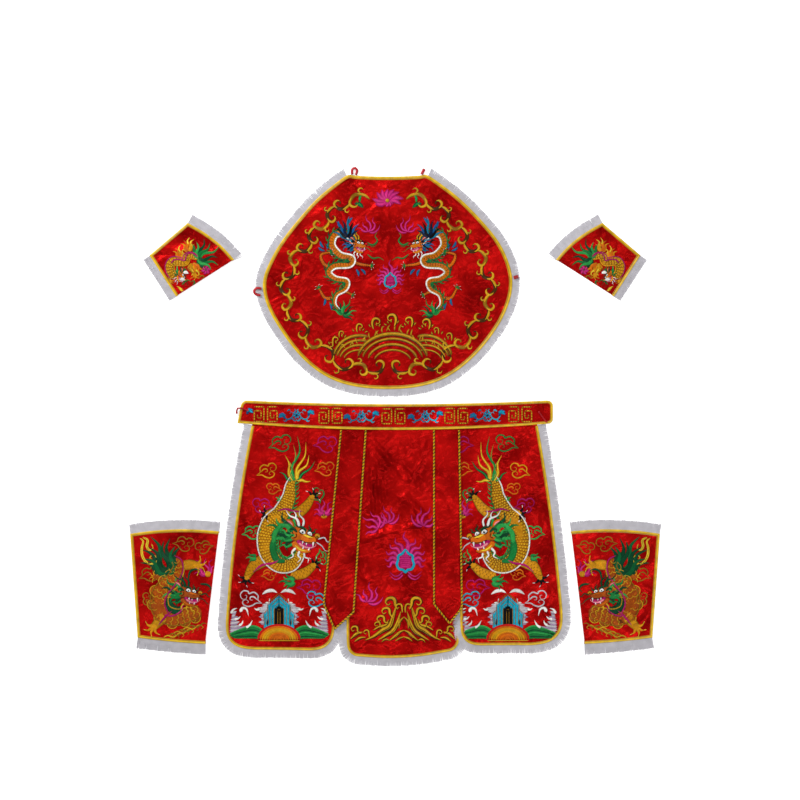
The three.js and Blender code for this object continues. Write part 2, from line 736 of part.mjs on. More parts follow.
function ribbonGeometry(outer, inner, tip) {
  const middle = outer.map((where, k) => where.clone().lerp(inner[k], 0.5).setZ(RIBBON_OUTER));
  middle[RIBBON_ROWS] = tip;
  const raised = (where) => where.clone().setZ(where.z + CLOTH);
  return loftGeometry(range(0, RIBBON_ROWS).map((k) => [
    raised(middle[k]), raised(outer[k]), outer[k], middle[k], inner[k], raised(inner[k]),
  ]));
}

// The rope runs down one edge of a ribbon, round its point and up the other edge
function ribbonRopeRoute(row, outer, inner, tip) {
  const [first, last] = outer[0].x < inner[0].x ? [outer, inner] : [inner, outer];
  const outline = [...first, tip, ...[...last].reverse()];
  const steps = ringSteps(outline.map((where) => point(where.x, where.y)));
  return outline.map((edge, k) => {
    const atTop = k === 0 || k === outline.length - 1;
    const below = outline[k ? k - 1 : 1];
    const start = bandLow(edge.x) - LEAD + LAP - SEAM;
    const where = atTop ? edge.clone().lerp(below, (edge.y - start) / (edge.y - below.y)) : edge;
    const step = atTop ? point(k ? 1 : -1, 0) : steps[k];
    const x = where.x + step.x * ROPE_OFFSET;
    const y = where.y + step.y * ROPE_OFFSET;
    const onOuter = outer.includes(edge);
    const corner = edge === outer[RIBBON_ROWS] ? row.ropeCorner : row.ropeOuter;
    const height = onOuter ? corner : RIBBON_INNER + CLOTH / 2 + SEAM / 2;
    return new THREE.Vector3(x, y, edge === tip ? row.ropeTip : height);
  });
}

Object.entries(RIBBONS).forEach(([side, row]) => {
  const outer = ribbonSide(row.topOuter, row.outerX, row.outerY, RIBBON_OUTER);
  const inner = ribbonSide(row.topInner, row.innerX, row.innerY, RIBBON_INNER);
  const tip = new THREE.Vector3(row.tipX, row.tipY, RIBBON_OUTER - SEAM / 2);
  const route = ribbonRopeRoute(row, outer, inner, tip);
  addSatin(`ribbon_${side}`, ribbonGeometry(outer, inner, tip));
  add(`ribbon_rope_${side}`,
    sweptGeometry(route, ROPE_SIDES, ROPE_RADIUS, ROPE_RADIUS), COLOURS.rope);
});

// Leg guards and cuffs: flat cuts folded in half, with the fold towards the middle of the set.
// In a cut, x is the distance from the fold line and y runs along it. The back half has x < 0.
const FOLD_MIDDLE = FOLD_RADIUS + CLOTH / 2;
const HALF_BEND = FOLD_MIDDLE * Math.PI / 2;
const FOLD_STEPS = [-1, -0.5, 0, 0.5, 1];

function foldPlace(piece, mirror) {
  const start = point(piece.foldStart.x, piece.foldStart.y);
  const along = point(piece.foldEnd.x, piece.foldEnd.y).sub(start).normalize();
  const aside = point(-along.y, along.x);
  const height = CLOTH + FOLD_RADIUS;
  return (where, outward) => {
    const radius = FOLD_RADIUS + outward;
    const bendAngle = THREE.MathUtils.clamp(where.x / FOLD_MIDDLE, -Math.PI / 2, Math.PI / 2);
    const free = Math.max(0, Math.abs(where.x) - HALF_BEND);
    const side = free - radius * Math.cos(bendAngle) + FOLD_RADIUS + CLOTH;
    const flat = start.clone().addScaledVector(aside, side).addScaledVector(along, where.y);
    const raise = where.x > 0 ? foldHeight(piece.folds, where) : 0;
    return new THREE.Vector3(mirror * flat.x, flat.y, height + radius * Math.sin(bendAngle) + raise);
  };
}

// The ring of a folded cut: both halves share the fold, and tape narrows it on three sides
function foldedRing(piece, tape) {
  const length = piece.length;
  const corners = {
    front: [point(piece.lowWidth - tape, piece.lowRise + tape),
      point(piece.highWidth - tape, length + piece.highRise - tape)],
    back: [point(-piece.lowWidth + tape, piece.lowRise + tape),
      point(-piece.highWidth + tape, length + piece.highRise - tape)],
    fold: [point(0, tape), point(0, length - tape)],
  };
  const halfShares = (width, count) => {
    const inner = FOLD_STEPS.slice(3).map((step) => step * HALF_BEND / width);
    const last = inner[inner.length - 1];
    return [...inner, ...range(1, count).map((k) => mix(last, 1, k / count))];
  };
  const edge = (end) => {
    const bow = (share) => piece.bow[end] * 4 * share * (1 - share);
    const half = (corner, count) => halfShares(piece.lowWidth, count).map((share) => {
      const where = corners.fold[end].clone().lerp(corner, share);
      return where.setY(where.y + bow(share));
    });
    const back = half(corners.back[end], piece.backCols).reverse();
    return [...back, corners.fold[end].clone(), ...half(corners.front[end], piece.frontCols)];
  };
  const low = edge(0);
  const high = edge(1);
  const side = (from, to) => range(1, piece.rows - 1).map((k) => from.clone().lerp(to, k / piece.rows));
  return [
    ...low,
    ...side(corners.front[0], corners.front[1]),
    ...high.reverse(),
    ...side(corners.back[1], corners.back[0]),
  ];
}

// The fringe of a folded piece lies against the rim of the cloth, thinner than the cloth
const FOLD_FRINGE = { low: 0.1, high: CLOTH - 0.1, spread: 0.96 };
const BACK_TIP = 0.7;
const BACK_PITCH = 1.6;
const NO_LOCKS = 1e3;

function addFolded(name, piece, tape, mirror) {
  const place = foldPlace(piece, mirror);
  const outer = foldedRing(piece, 0);
  const cols = piece.backCols + piece.frontCols + FOLD_STEPS.length - 1;
  const cut = clothCut(outer, foldedRing(piece, tape), cols, piece.rows);
  const foldLow = piece.backCols + 2;
  const foldHigh = cols + piece.rows + piece.frontCols + 2;
  addSatin(`${name}_panel`, wallGeometry(cut, place, CLOTH));
  addTape(`${name}_binding`, faceTapeGeometry(cut, place, CLOTH, range(foldLow + 2, foldHigh - 2)));
  const pitch = (edge) => {
    if (Math.abs(edge.x) < HALF_BEND) return NO_LOCKS;
    return GUARD_PITCH * (edge.x > 0 ? 1 : BACK_PITCH);
  };
  const fringeSize = (end) => ({
    ...FOLD_FRINGE,
    gap: 2 * SEAM,
    pitch,
    length: () => piece.fringe[end],
    tip: (edge) => (edge.x > 0 ? 0 : BACK_TIP),
  });
  addFringe(`${name}_fringe_low`, fringeGeometry(cut, place, fringeSize(0), range(0, cols)));
  addFringe(`${name}_fringe_high`, fringeGeometry(
    cut, place, fringeSize(1), range(cols + piece.rows, 2 * cols + piece.rows)));
}

const GUARD = {
  foldStart: { x: -474, y: -566 },
  foldEnd: { x: -440.5, y: -287 },
  length: 281,
  lowWidth: 169,
  lowRise: -4.4,
  highWidth: 218,
  highRise: -32,
  bow: [-2, 8],
  backCols: 3,
  frontCols: 6,
  rows: 8,
  fringe: [27, 24],
  folds: [
    { x: 105, y: 130, length: 190, heading: 70, width: 90, height: 3 },
    { x: 110, y: 205, length: 120, heading: 5, width: 80, height: 2 },
  ],
};
const CUFF = {
  foldStart: { x: -546.5, y: 302 },
  foldEnd: { x: -403.5, y: 393 },
  length: 169.5,
  lowWidth: 121,
  lowRise: -0.6,
  highWidth: 138,
  highRise: -48,
  bow: [0, 9],
  backCols: 3,
  frontCols: 5,
  rows: 5,
  fringe: [20, 24],
  folds: [{ x: 62, y: 70, length: 100, heading: 60, width: 60, height: 2 }],
};
addFolded('leg_guard_left', GUARD, GUARD_TAPE, 1);
addFolded('leg_guard_right', GUARD, GUARD_TAPE, -1);
addFolded('cuff_left', CUFF, CUFF_TAPE, 1);
addFolded('cuff_right', CUFF, CUFF_TAPE, -1);

// The origin is under the middle of the whole layout
const box = new THREE.Box3().setFromObject(layout);
const centre = box.getCenter(new THREE.Vector3());
layout.position.set(-centre.x, -centre.y, -box.min.z);

const group = new THREE.Group();
group.add(layout);
export default group;
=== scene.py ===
import math
import random

import bmesh
import bpy
import numpy as np
from bpy.props import FloatProperty, FloatVectorProperty, PointerProperty
from mathutils import Matrix, Vector
from mathutils.bvhtree import BVHTree


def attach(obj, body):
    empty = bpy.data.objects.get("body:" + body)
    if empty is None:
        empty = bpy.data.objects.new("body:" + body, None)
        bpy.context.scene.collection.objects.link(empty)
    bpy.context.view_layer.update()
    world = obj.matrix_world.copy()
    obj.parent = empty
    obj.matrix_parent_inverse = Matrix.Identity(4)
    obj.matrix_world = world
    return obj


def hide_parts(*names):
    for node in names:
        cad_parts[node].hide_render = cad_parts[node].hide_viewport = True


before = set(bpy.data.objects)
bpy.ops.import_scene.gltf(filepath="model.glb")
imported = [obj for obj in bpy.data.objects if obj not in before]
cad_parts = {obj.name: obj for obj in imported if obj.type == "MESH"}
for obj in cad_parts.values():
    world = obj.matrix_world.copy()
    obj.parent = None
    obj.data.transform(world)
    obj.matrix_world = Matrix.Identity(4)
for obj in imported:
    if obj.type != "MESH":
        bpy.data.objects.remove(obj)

bl_info = {
    "name": "Ritual costume set",
    "version": (1, 0, 0),
    "blender": (4, 5, 0),
    "location": "3D View > Sidebar > Costume",
    "description": "Dresses a laid-out satin costume set in cloth, tape, fringe and embroidery",
    "category": "Object",
}

# Sizes are in millimetres in the tables and in metres in the meshes
MM = 0.001
MERGE = 2e-5
SHARP = math.radians(50)
# The lowest that a tape comes to the floor
LOWEST = 0.05
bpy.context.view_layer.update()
pieces = {}
chains = {}


# Materials
def new_material(name, **constants):
    """A material with its Principled shader, ready for nodes to be linked to it"""
    material = bpy.data.materials.new(name)
    material.use_nodes = True
    shader = material.node_tree.nodes["Principled BSDF"]
    for label, value in constants.items():
        shader.inputs[label.replace("_", " ")].default_value = value
    return material, material.node_tree, shader


def node(tree, kind, links=(), **values):
    """A node whose inputs are set from values and linked from links"""
    made = tree.nodes.new(kind)
    for label, value in values.items():
        setattr(made, label, value)
    for socket, source in dict(links).items():
        if isinstance(source, bpy.types.NodeSocket):
            tree.links.new(source, made.inputs[socket])
        else:
            made.inputs[socket].default_value = source
    return made


def group_tree(name, inputs, outputs):
    """An empty shader node group with named sockets"""
    tree = bpy.data.node_groups.new(name, "ShaderNodeTree")
    for label, kind, value in inputs:
        socket = tree.interface.new_socket(label, in_out="INPUT", socket_type=kind)
        socket.default_value = value
    for label, kind in outputs:
        tree.interface.new_socket(label, in_out="OUTPUT", socket_type=kind)
    return tree, tree.nodes.new("NodeGroupInput").outputs, tree.nodes.new("NodeGroupOutput").inputs


def maths(tree, operation, first, second=0.0, third=0.0):
    """The output of a Math node"""
    return node(tree, "ShaderNodeMath", {0: first, 1: second, 2: third}, operation=operation).outputs[0]


def mixed(tree, share, first, second, blend="MIX"):
    """Two colours mixed by a share, or one multiplied by the other"""
    links = {0: share, 6: first, 7: second}
    return node(tree, "ShaderNodeMix", links, data_type="RGBA", blend_type=blend).outputs[2]


def tinted(tree, colour, shade):
    """A colour multiplied by a grey value"""
    grey = node(tree, "ShaderNodeCombineColor", {0: shade, 1: shade, 2: shade}).outputs[0]
    return mixed(tree, 1.0, colour, grey, "MULTIPLY")


def noise(tree, where, scale, detail, distortion=0.0):
    """The output of a Noise node"""
    links = {"Vector": where, "Scale": scale, "Detail": detail, "Distortion": distortion}
    return node(tree, "ShaderNodeTexNoise", links).outputs[0]


# What both groups give back: a colour, a height for the bump and a roughness
GIVEN_BACK = [("Colour", "NodeSocketColor"), ("Height", "NodeSocketFloat"), ("Roughness", "NodeSocketFloat")]


def stitch_group():
    """Satin stitch: fine threads across a stroke, with painted shade at its rims and between its threads"""
    tree, given, made = group_tree(
        "Satin stitch",
        [("Colour", "NodeSocketColor", (1, 1, 1, 1)), ("Thread", "NodeSocketFloat", 0.0006),
         ("Depth", "NodeSocketFloat", 0.45)], GIVEN_BACK)
    run, across, rim, tint = (
        node(tree, "ShaderNodeAttribute", attribute_name=name).outputs["Fac"]
        for name in ("run", "across", "rim", "tint"))
    slanted = maths(tree, "MULTIPLY_ADD", across, 0.35, run)
    phase = maths(tree, "DIVIDE", maths(tree, "MULTIPLY", slanted, 2 * math.pi), given["Thread"])
    thread = maths(tree, "MULTIPLY_ADD", maths(tree, "SINE", phase), 0.5, 0.5)
    where = node(tree, "ShaderNodeTexCoord").outputs["Object"]
    patchy = noise(tree, where, 130.0, 2.0)
    # Painted shade: the colour darkens towards each stroke's rims, standing for the shade of its rounded dome
    edge = maths(tree, "POWER", rim, 2.0)
    shade = maths(tree, "MULTIPLY_ADD", edge, -0.55, 1.12)
    shade = maths(tree, "MULTIPLY_ADD", maths(tree, "SUBTRACT", patchy, 0.5), 0.55, shade)
    # Painted shade in the grooves between threads: the colour darkens where the thread stripes dip
    shade = maths(tree, "MULTIPLY_ADD", maths(tree, "SUBTRACT", thread, 1.0), given["Depth"], shade)
    shade = maths(tree, "MULTIPLY", shade, tint)
    tree.links.new(tinted(tree, given["Colour"], shade), made["Colour"])
    tree.links.new(thread, made["Height"])
    tree.links.new(maths(tree, "MULTIPLY_ADD", patchy, 0.25, 0.25), made["Roughness"])
    return tree


def weave_group():
    """Woven cloth: long floats one way, short ones the other, and broad patches of the Dark colour: painted
    shade on the satin, uneven tone on the trims
    """
    tree, given, made = group_tree(
        "Woven cloth",
        [("Colour", "NodeSocketColor", (1, 1, 1, 1)), ("Dark", "NodeSocketColor", (0.5, 0.5, 0.5, 1)),
         ("Thread", "NodeSocketFloat", 0.0005), ("Patch", "NodeSocketFloat", 12.0),
         ("Wrinkle", "NodeSocketFloat", 0.0)], GIVEN_BACK)
    where = node(tree, "ShaderNodeTexCoord").outputs["Object"]
    split = node(tree, "ShaderNodeSeparateXYZ", {0: where})
    rate = maths(tree, "DIVIDE", 2 * math.pi, given["Thread"])
    across = maths(tree, "SINE", maths(tree, "MULTIPLY", split.outputs[0], rate))
    along = maths(tree, "SINE", maths(tree, "MULTIPLY", split.outputs[1],
                                      maths(tree, "MULTIPLY", rate, 0.25)))
    height = maths(tree, "MULTIPLY_ADD", along, 0.3, across)
    crumple = noise(tree, where, 13.0, 1.5, 1.1)
    pucker = noise(tree, where, 48.0, 1.0, 0.6)
    folds = maths(tree, "MULTIPLY_ADD", pucker, 0.22, crumple)
    relief = maths(tree, "MULTIPLY_ADD", folds, given["Wrinkle"], maths(tree, "MULTIPLY", height, 0.1))
    # Broad patches of the Dark colour: on the satin these are painted shade for its sheen and wrinkles; on
    # the trims an uneven tone
    broad = noise(tree, where, given["Patch"], 3.0)
    spread = node(tree, "ShaderNodeMapRange", {0: broad, 1: 0.3, 2: 0.7}).outputs[0]
    patches = mixed(tree, spread, given["Dark"], given["Colour"])
    # Painted shade in the weave's hollows and painted light on its raised floats, following the bump's height
    shade = maths(tree, "MULTIPLY_ADD", height, 0.04, 1.0)
    tree.links.new(tinted(tree, patches, shade), made["Colour"])
    tree.links.new(relief, made["Height"])
    tree.links.new(maths(tree, "MULTIPLY_ADD", broad, 0.2, 0.22), made["Roughness"])
    return tree


GROUPS = {}


def grouped_material(name, group, colour, values, bump, **constants):
    """A material whose colour, roughness and bump come from one of the shared groups"""
    material, tree, shader = new_material(name, **constants)
    if group not in GROUPS:
        GROUPS[group] = {"stitch": stitch_group, "weave": weave_group}[group]()
    effect = node(tree, "ShaderNodeGroup", node_tree=GROUPS[group])
    effect.inputs["Colour"].default_value = (*colour, 1)
    for label, value in values.items():
        effect.inputs[label].default_value = value
    tree.links.new(effect.outputs["Colour"], shader.inputs["Base Color"])
    tree.links.new(effect.outputs["Roughness"], shader.inputs["Roughness"])
    relief = node(tree, "ShaderNodeBump", {"Height": effect.outputs["Height"], "Strength": bump[0],
                                           "Distance": bump[1]})
    tree.links.new(relief.outputs[0], shader.inputs["Normal"])
    return material


# Thread colours of the embroidery, linear. Brass and umber also lie under the gold as its painted shade
THREADS = {
    "gold": (0.56, 0.30, 0.010), "brass": (0.26, 0.12, 0.006), "umber": (0.055, 0.022, 0.003),
    "orange": (0.58, 0.12, 0.004), "amber": (0.58, 0.24, 0.005), "yellow": (0.78, 0.54, 0.03),
    "magenta": (0.38, 0.006, 0.11), "pink": (0.58, 0.025, 0.19), "rose": (0.80, 0.22, 0.28),
    "white": (0.80, 0.78, 0.74), "silver": (0.50, 0.47, 0.50), "lilac": (0.34, 0.25, 0.36),
    "green": (0.008, 0.17, 0.035), "leaf": (0.025, 0.30, 0.06), "forest": (0.003, 0.055, 0.020),
    "cyan": (0.008, 0.34, 0.48), "teal": (0.006, 0.14, 0.24), "pine": (0.004, 0.10, 0.028),
    "blue": (0.006, 0.08, 0.25), "navy": (0.004, 0.012, 0.04), "black": (0.004, 0.004, 0.005),
    "red": (0.50, 0.008, 0.006), "rust": (0.33, 0.062, 0.004), "dark": (0.018, 0.006, 0.003),
}
# Trims: how dark their duller patches are beside their colour, and the width of a thread in metres
TRIMS = {
    "tape_outer": (0.62, 0.0009), "tape_inner": (0.62, 0.0009), "fringe": (0.86, 0.0006),
    "rouleau": (0.62, 0.0009),
}
# Strength and distance of each kind's bump
THREAD_BUMP = (0.6, 0.0003)
SATIN_BUMP = (1.0, 0.0002)
TRIM_BUMP = (0.35, 0.0003)
SATIN_WRINKLE = 72.0
TRIM_PATCHES = 60.0
MATERIALS = {}


def finish(name):
    """The material of that name, made once"""
    if name in MATERIALS:
        return MATERIALS[name]
    look = bpy.context.scene.costume
    if name in THREADS:
        values = {"Thread": look.thread}
        made = grouped_material(f"Thread {name}", "stitch", THREADS[name], values, THREAD_BUMP,
                                Specular_IOR_Level=0.05)
    elif name == "satin":
        # The satin's Dark colour is painted shade, laid in broad patches by the woven cloth group
        values = {"Dark": (*look.satin_painted_shade, 1), "Wrinkle": SATIN_WRINKLE}
        made = grouped_material("Red satin", "weave", look.satin, values, SATIN_BUMP, Metallic=0.45,
                                Specular_IOR_Level=0.02)
    else:
        colour = getattr(look, name)
        darker, thread = TRIMS[name]
        values = {"Dark": (*(darker * x for x in colour), 1), "Thread": thread, "Patch": TRIM_PATCHES}
        made = grouped_material(name.replace("_", " ").capitalize(), "weave", colour, values, TRIM_BUMP,
                                Specular_IOR_Level=0.25)
    MATERIALS[name] = made
    return made


# Directions on the flat
def unit(vectors):
    """The same vectors with a length of one"""
    return vectors / np.linalg.norm(vectors, axis=-1, keepdims=True)


def left_of(vectors):
    """The same flat vectors turned a quarter to the left"""
    return np.stack([-vectors[..., 1], vectors[..., 0]], axis=-1)


def compass(angle):
    """The flat direction at an angle in degrees"""
    turn = math.radians(angle)
    return np.array([math.cos(turn), math.sin(turn)])


def directions(line):
    """Ahead and to the left at each point of a line"""
    ahead = unit(np.gradient(line, axis=0))
    return ahead, left_of(ahead)


def running_length(points):
    """How far along a line each of its points lies"""
    return np.concatenate([[0], np.cumsum(np.linalg.norm(np.diff(points, axis=0), axis=1))])


# Meshes
def put_in_scene(name, mesh, replaces=()):
    """A piece made from a mesh, riding on the part"""
    piece = bpy.data.objects.new(name, mesh)
    bpy.context.scene.collection.objects.link(piece)
    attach(piece, "root")
    if replaces:
        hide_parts(*replaces)
    pieces[name] = piece
    return piece


def merged_copy(name):
    """A CAD node's mesh with its loose triangles merged and made quads again"""
    bm = bmesh.new()
    bm.from_mesh(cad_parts[name].data)
    bmesh.ops.remove_doubles(bm, verts=bm.verts, dist=MERGE)
    bmesh.ops.join_triangles(bm, faces=bm.faces, angle_face_threshold=3.1, angle_shape_threshold=3.1)
    return bm


def subdivided(bm, name, levels):
    """The mesh after Catmull-Clark subdivision, with its sharp edges kept where they ran"""
    crease = bm.edges.layers.float.new("crease_edge")
    for edge in bm.edges:
        if len(edge.link_faces) == 2 and edge.calc_face_angle() > SHARP:
            edge[crease] = 1.0
    moved = {}
    for vert in bm.verts:
        ends = [edge.other_vert(vert).co for edge in vert.link_edges if edge[crease]]
        if len(ends) == 2:
            moved[vert] = vert.co + (vert.co - (ends[0] + ends[1]) / 2) / 3
    for vert, co in moved.items():
        vert.co = co
    mesh = bpy.data.meshes.new(name)
    bm.to_mesh(mesh)
    bm.free()
    maker = bpy.data.objects.new("maker", mesh)
    bpy.context.scene.collection.objects.link(maker)
    smooth = maker.modifiers.new("Smooth", "SUBSURF")
    smooth.levels = smooth.render_levels = levels
    graph = bpy.context.evaluated_depsgraph_get()
    made = bpy.data.meshes.new_from_object(maker.evaluated_get(graph))
    bpy.data.objects.remove(maker)
    bpy.data.meshes.remove(mesh)
    made.name = name
    return made


def places(mesh):
    """The mesh's vertices in millimetres"""
    co = np.empty(len(mesh.vertices) * 3)
    mesh.vertices.foreach_get("co", co)
    return co.reshape(-1, 3) / MM


def set_places(mesh, co):
    """Moves the mesh's vertices to places in millimetres"""
    mesh.vertices.foreach_set("co", (co * MM).ravel())
    mesh.update()


def shade(mesh, names):
    """Smooth shading with sharp edges kept, and the materials in order"""
    if not len(mesh.materials):
        for name in names:
            mesh.materials.append(finish(name))
    mesh.shade_smooth()
    mesh.set_sharp_from_angle(angle=SHARP)


# A rim runs where a face that looks up meets one that doesn't look down, at a clear angle
RIM_BEND = math.radians(45)
# Heights in metres: a rim lies above the first, and one above the second comes before all others
RIM_LOW = 1.1e-4
RIM_HIGH = 0.002


def rim_chain(mesh):
    """The edge of a cloth's upper face in order, as points, outward steps and whether it closes"""
    bm = bmesh.new()
    bm.from_mesh(mesh)
    bm.normal_update()
    partners = {}
    for edge in bm.edges:
        if len(edge.link_faces) != 2:
            continue
        low, high = sorted(face.normal.z for face in edge.link_faces)
        if high > 0.5 and edge.calc_face_angle() > RIM_BEND and low > -0.5:
            for one, other in (edge.verts, reversed(edge.verts)):
                partners.setdefault(one.index, []).append(other.index)
    left = set(partners)
    found = []
    while left:
        start = next((k for k in sorted(left) if len(partners[k]) == 1), min(left))
        chain = [start]
        left.discard(start)
        while True:
            following = [k for k in partners[chain[-1]] if k in left]
            if not following:
                break
            chain.append(following[0])
            left.discard(following[0])
        found.append((chain, len(partners[start]) > 1))
    bm.verts.ensure_lookup_table()

    def worth(item):
        height = sum(bm.verts[k].co.z for k in item[0]) / len(item[0])
        return len(item[0]) * (height > RIM_LOW) + 1e4 * (height > RIM_HIGH)

    chain, closed = max(found, key=worth)
    points = np.array([bm.verts[k].co / MM for k in chain])
    bm.free()
    ahead = np.roll(points, -1, axis=0) - points
    behind = points - np.roll(points, 1, axis=0)
    if not closed:
        ahead[-1], behind[0] = behind[-1], ahead[0]
    ahead, behind = unit(ahead[:, :2]), unit(behind[:, :2])
    turned = np.sum(points[:, 0] * np.roll(points[:, 1], -1) - points[:, 1] * np.roll(points[:, 0], -1))
    side = 1 if turned > 0 else -1
    normal = unit(ahead + behind)
    reach = 1 / np.clip(np.sum(normal * ahead, axis=1), 0.5, 1)
    steps = -left_of(normal) * reach[:, None] * side
    return {"points": points, "steps": steps, "closed": closed}


def rim_distance(xy, chain):
    """How far each point lies from the edge of the cloth"""
    rim = chain["points"][:, :2]
    found = np.empty(len(xy))
    for start in range(0, len(xy), 4000):
        block = xy[start:start + 4000, None, :] - rim[None, :, :]
        found[start:start + 4000] = np.sqrt((block ** 2).sum(axis=2).min(axis=1))
    return found


def ease(value, low, high):
    """From 0 at low to 1 at high, without a corner"""
    share = np.clip((value - low) / (high - low), 0, 1)
    return share * share * (3 - 2 * share)


def ripple(xy, seed, size):
    """Broad uneven waves, between about -1 and 1"""
    draw = random.Random(seed)
    total = np.zeros(len(xy))
    for _ in range(9):
        turn = draw.uniform(0, math.pi)
        rate = 2 * math.pi / (size * draw.uniform(0.6, 1.7))
        total += np.sin((xy[:, 0] * math.cos(turn) + xy[:, 1] * math.sin(turn)) * rate + draw.uniform(0, 6.3))
    return total / 4


def crease_height(xy, rows):
    """Ridges and hollows along slightly wandering lines. A row's last word, if it has one, is sharp"""
    total = np.zeros(len(xy))
    wander = ripple(xy, 5, 90)
    for x0, y0, x1, y1, width, height, *sharp in rows:
        line = np.array([x1 - x0, y1 - y0], float)
        length = np.hypot(*line)
        line /= length
        away = xy - (x0, y0)
        along = away @ line / length
        aside = away @ left_of(line) + 4 * wander * min(1, width / 8)
        body = np.exp(-np.abs(aside) / width) if sharp else np.exp(-(aside / width) ** 2)
        total += height * body * np.sqrt(np.clip(np.sin(math.pi * np.clip(along, 0, 1)), 0, 1))
    return total


# A folded cloth's rim is open: its creases fade out below these heights and sink no deeper than this
FOLD_FADE = (1.6, 2.3)
FOLD_FLOOR = -0.6


def cloth_piece(name, source, creases, waves, fade=(6, 26)):
    """A satin cloth: the CAD solid made smooth, with finer creases in its upper face"""
    mesh = subdivided(merged_copy(source), name, 2)
    bm = bmesh.new()
    bm.from_mesh(mesh)
    bm.normal_update()
    upper = [edge for edge in bm.edges if all(face.normal.z > 0.5 for face in edge.link_faces)]
    bmesh.ops.subdivide_edges(bm, edges=upper, cuts=1, use_grid_fill=True)
    bm.to_mesh(mesh)
    bm.free()
    chain = rim_chain(mesh)
    co = places(mesh)
    inside = ease(rim_distance(co[:, :2], chain), *fade)
    if not chain["closed"]:
        inside *= ease(co[:, 2], *FOLD_FADE)
    size, depth, seed = waves
    lift = crease_height(co[:, :2], creases) + depth * ripple(co[:, :2], seed, size)
    co[:, 2] += inside * np.maximum(lift, 0.0 if chain["closed"] else FOLD_FLOOR)
    set_places(mesh, co)
    shade(mesh, ["satin"])
    piece = put_in_scene(name, mesh, [source])
    chains[name] = chain
    return piece


def part_of(chain, wanted):
    """The stretch of a chain whose points are wanted, in order"""
    keep = np.array([bool(wanted(*point[:2])) for point in chain["points"]])
    if keep.all():
        return chain
    size = len(keep)
    first = next(k for k in range(size) if keep[k] and not (keep[k - 1] if chain["closed"] or k else False))
    order = [(first + k) % size for k in range(size)]
    last = next((k for k, j in enumerate(order) if not keep[j]), size)
    order = order[:last]
    return {"points": chain["points"][order], "steps": chain["steps"][order], "closed": False}


def swept_piece(name, chain, profile, replaces):
    """A row of edges along the chain, extruded through the profile's offsets and heights"""
    bm = bmesh.new()
    station = bm.verts.layers.int.new("station")
    run = bm.verts.layers.float.new("run")
    across = bm.verts.layers.float.new("across")
    points, steps = chain["points"], chain["steps"]
    lengths = running_length(points[:, :2])

    def settle(vert, offset, height, distance):
        k = vert[station]
        flat = points[k, :2] + steps[k] * offset
        vert.co = Vector((*flat, max(points[k, 2] + height, LOWEST))) * MM
        vert[run] = lengths[k] * MM
        vert[across] = distance * MM

    row = [bm.verts.new() for _ in points]
    for k, vert in enumerate(row):
        vert[station] = k
        settle(vert, profile[0][0], profile[0][1], 0)
    edges = [bm.edges.new(pair) for pair in zip(row, row[1:])]
    if chain["closed"]:
        edges.append(bm.edges.new((row[-1], row[0])))
    first_edges = edges
    distance = 0
    names = []
    for (offset0, height0, _), (offset, height, name_of) in zip(profile, profile[1:]):
        distance += math.hypot(offset - offset0, height - height0)
        if name_of not in names:
            names.append(name_of)
        made = bmesh.ops.extrude_edge_only(bm, edges=edges)["geom"]
        fresh = {item for item in made if isinstance(item, bmesh.types.BMVert)}
        for vert in fresh:
            settle(vert, offset, height, distance)
        edges = [item for item in made if isinstance(item, bmesh.types.BMEdge)
                 and item.verts[0] in fresh and item.verts[1] in fresh]
        for item in made:
            if isinstance(item, bmesh.types.BMFace):
                item.material_index = names.index(name_of)
    bmesh.ops.bridge_loops(bm, edges=first_edges + edges)
    if not chain["closed"]:
        bmesh.ops.holes_fill(bm, edges=bm.edges)
    bmesh.ops.recalc_face_normals(bm, faces=bm.faces)
    mesh = bpy.data.meshes.new(name)
    bm.to_mesh(mesh)
    bm.free()
    shade(mesh, names)
    return put_in_scene(name, mesh, replaces)


def tape_profile(width, drop):
    """Binding tape in two tones, from its inner edge over the rim and down, with the tone of each step"""
    half = width * 0.52
    return [
        (-width, 0.05, ""), (-width + 0.3, 0.75, "tape_inner"), (-width + 1.2, 0.95, "tape_inner"),
        (-half - 0.5, 0.9, "tape_inner"), (-half, 0.62, "tape_inner"), (-half + 0.5, 1.0, "tape_outer"),
        (-1.2, 1.12, "tape_outer"), (0.6, 0.85, "tape_outer"), (1.1, 0.1, "tape_outer"),
        (1.1, -drop, "tape_outer"), (0.2, -drop, "tape_outer"),
    ]


# Strands and strokes: curves given a section and made one mesh
def section_curve(name, corners):
    """A closed outline to sweep along other curves"""
    curve = bpy.data.curves.new(name, "CURVE")
    curve.dimensions = "2D"
    spline = curve.splines.new("POLY")
    spline.points.add(len(corners) - 1)
    for point, (x, y) in zip(spline.points, corners):
        point.co = (x, y, 0, 1)
    spline.use_cyclic_u = True
    made = bpy.data.objects.new(name, curve)
    bpy.context.scene.collection.objects.link(made)
    return made


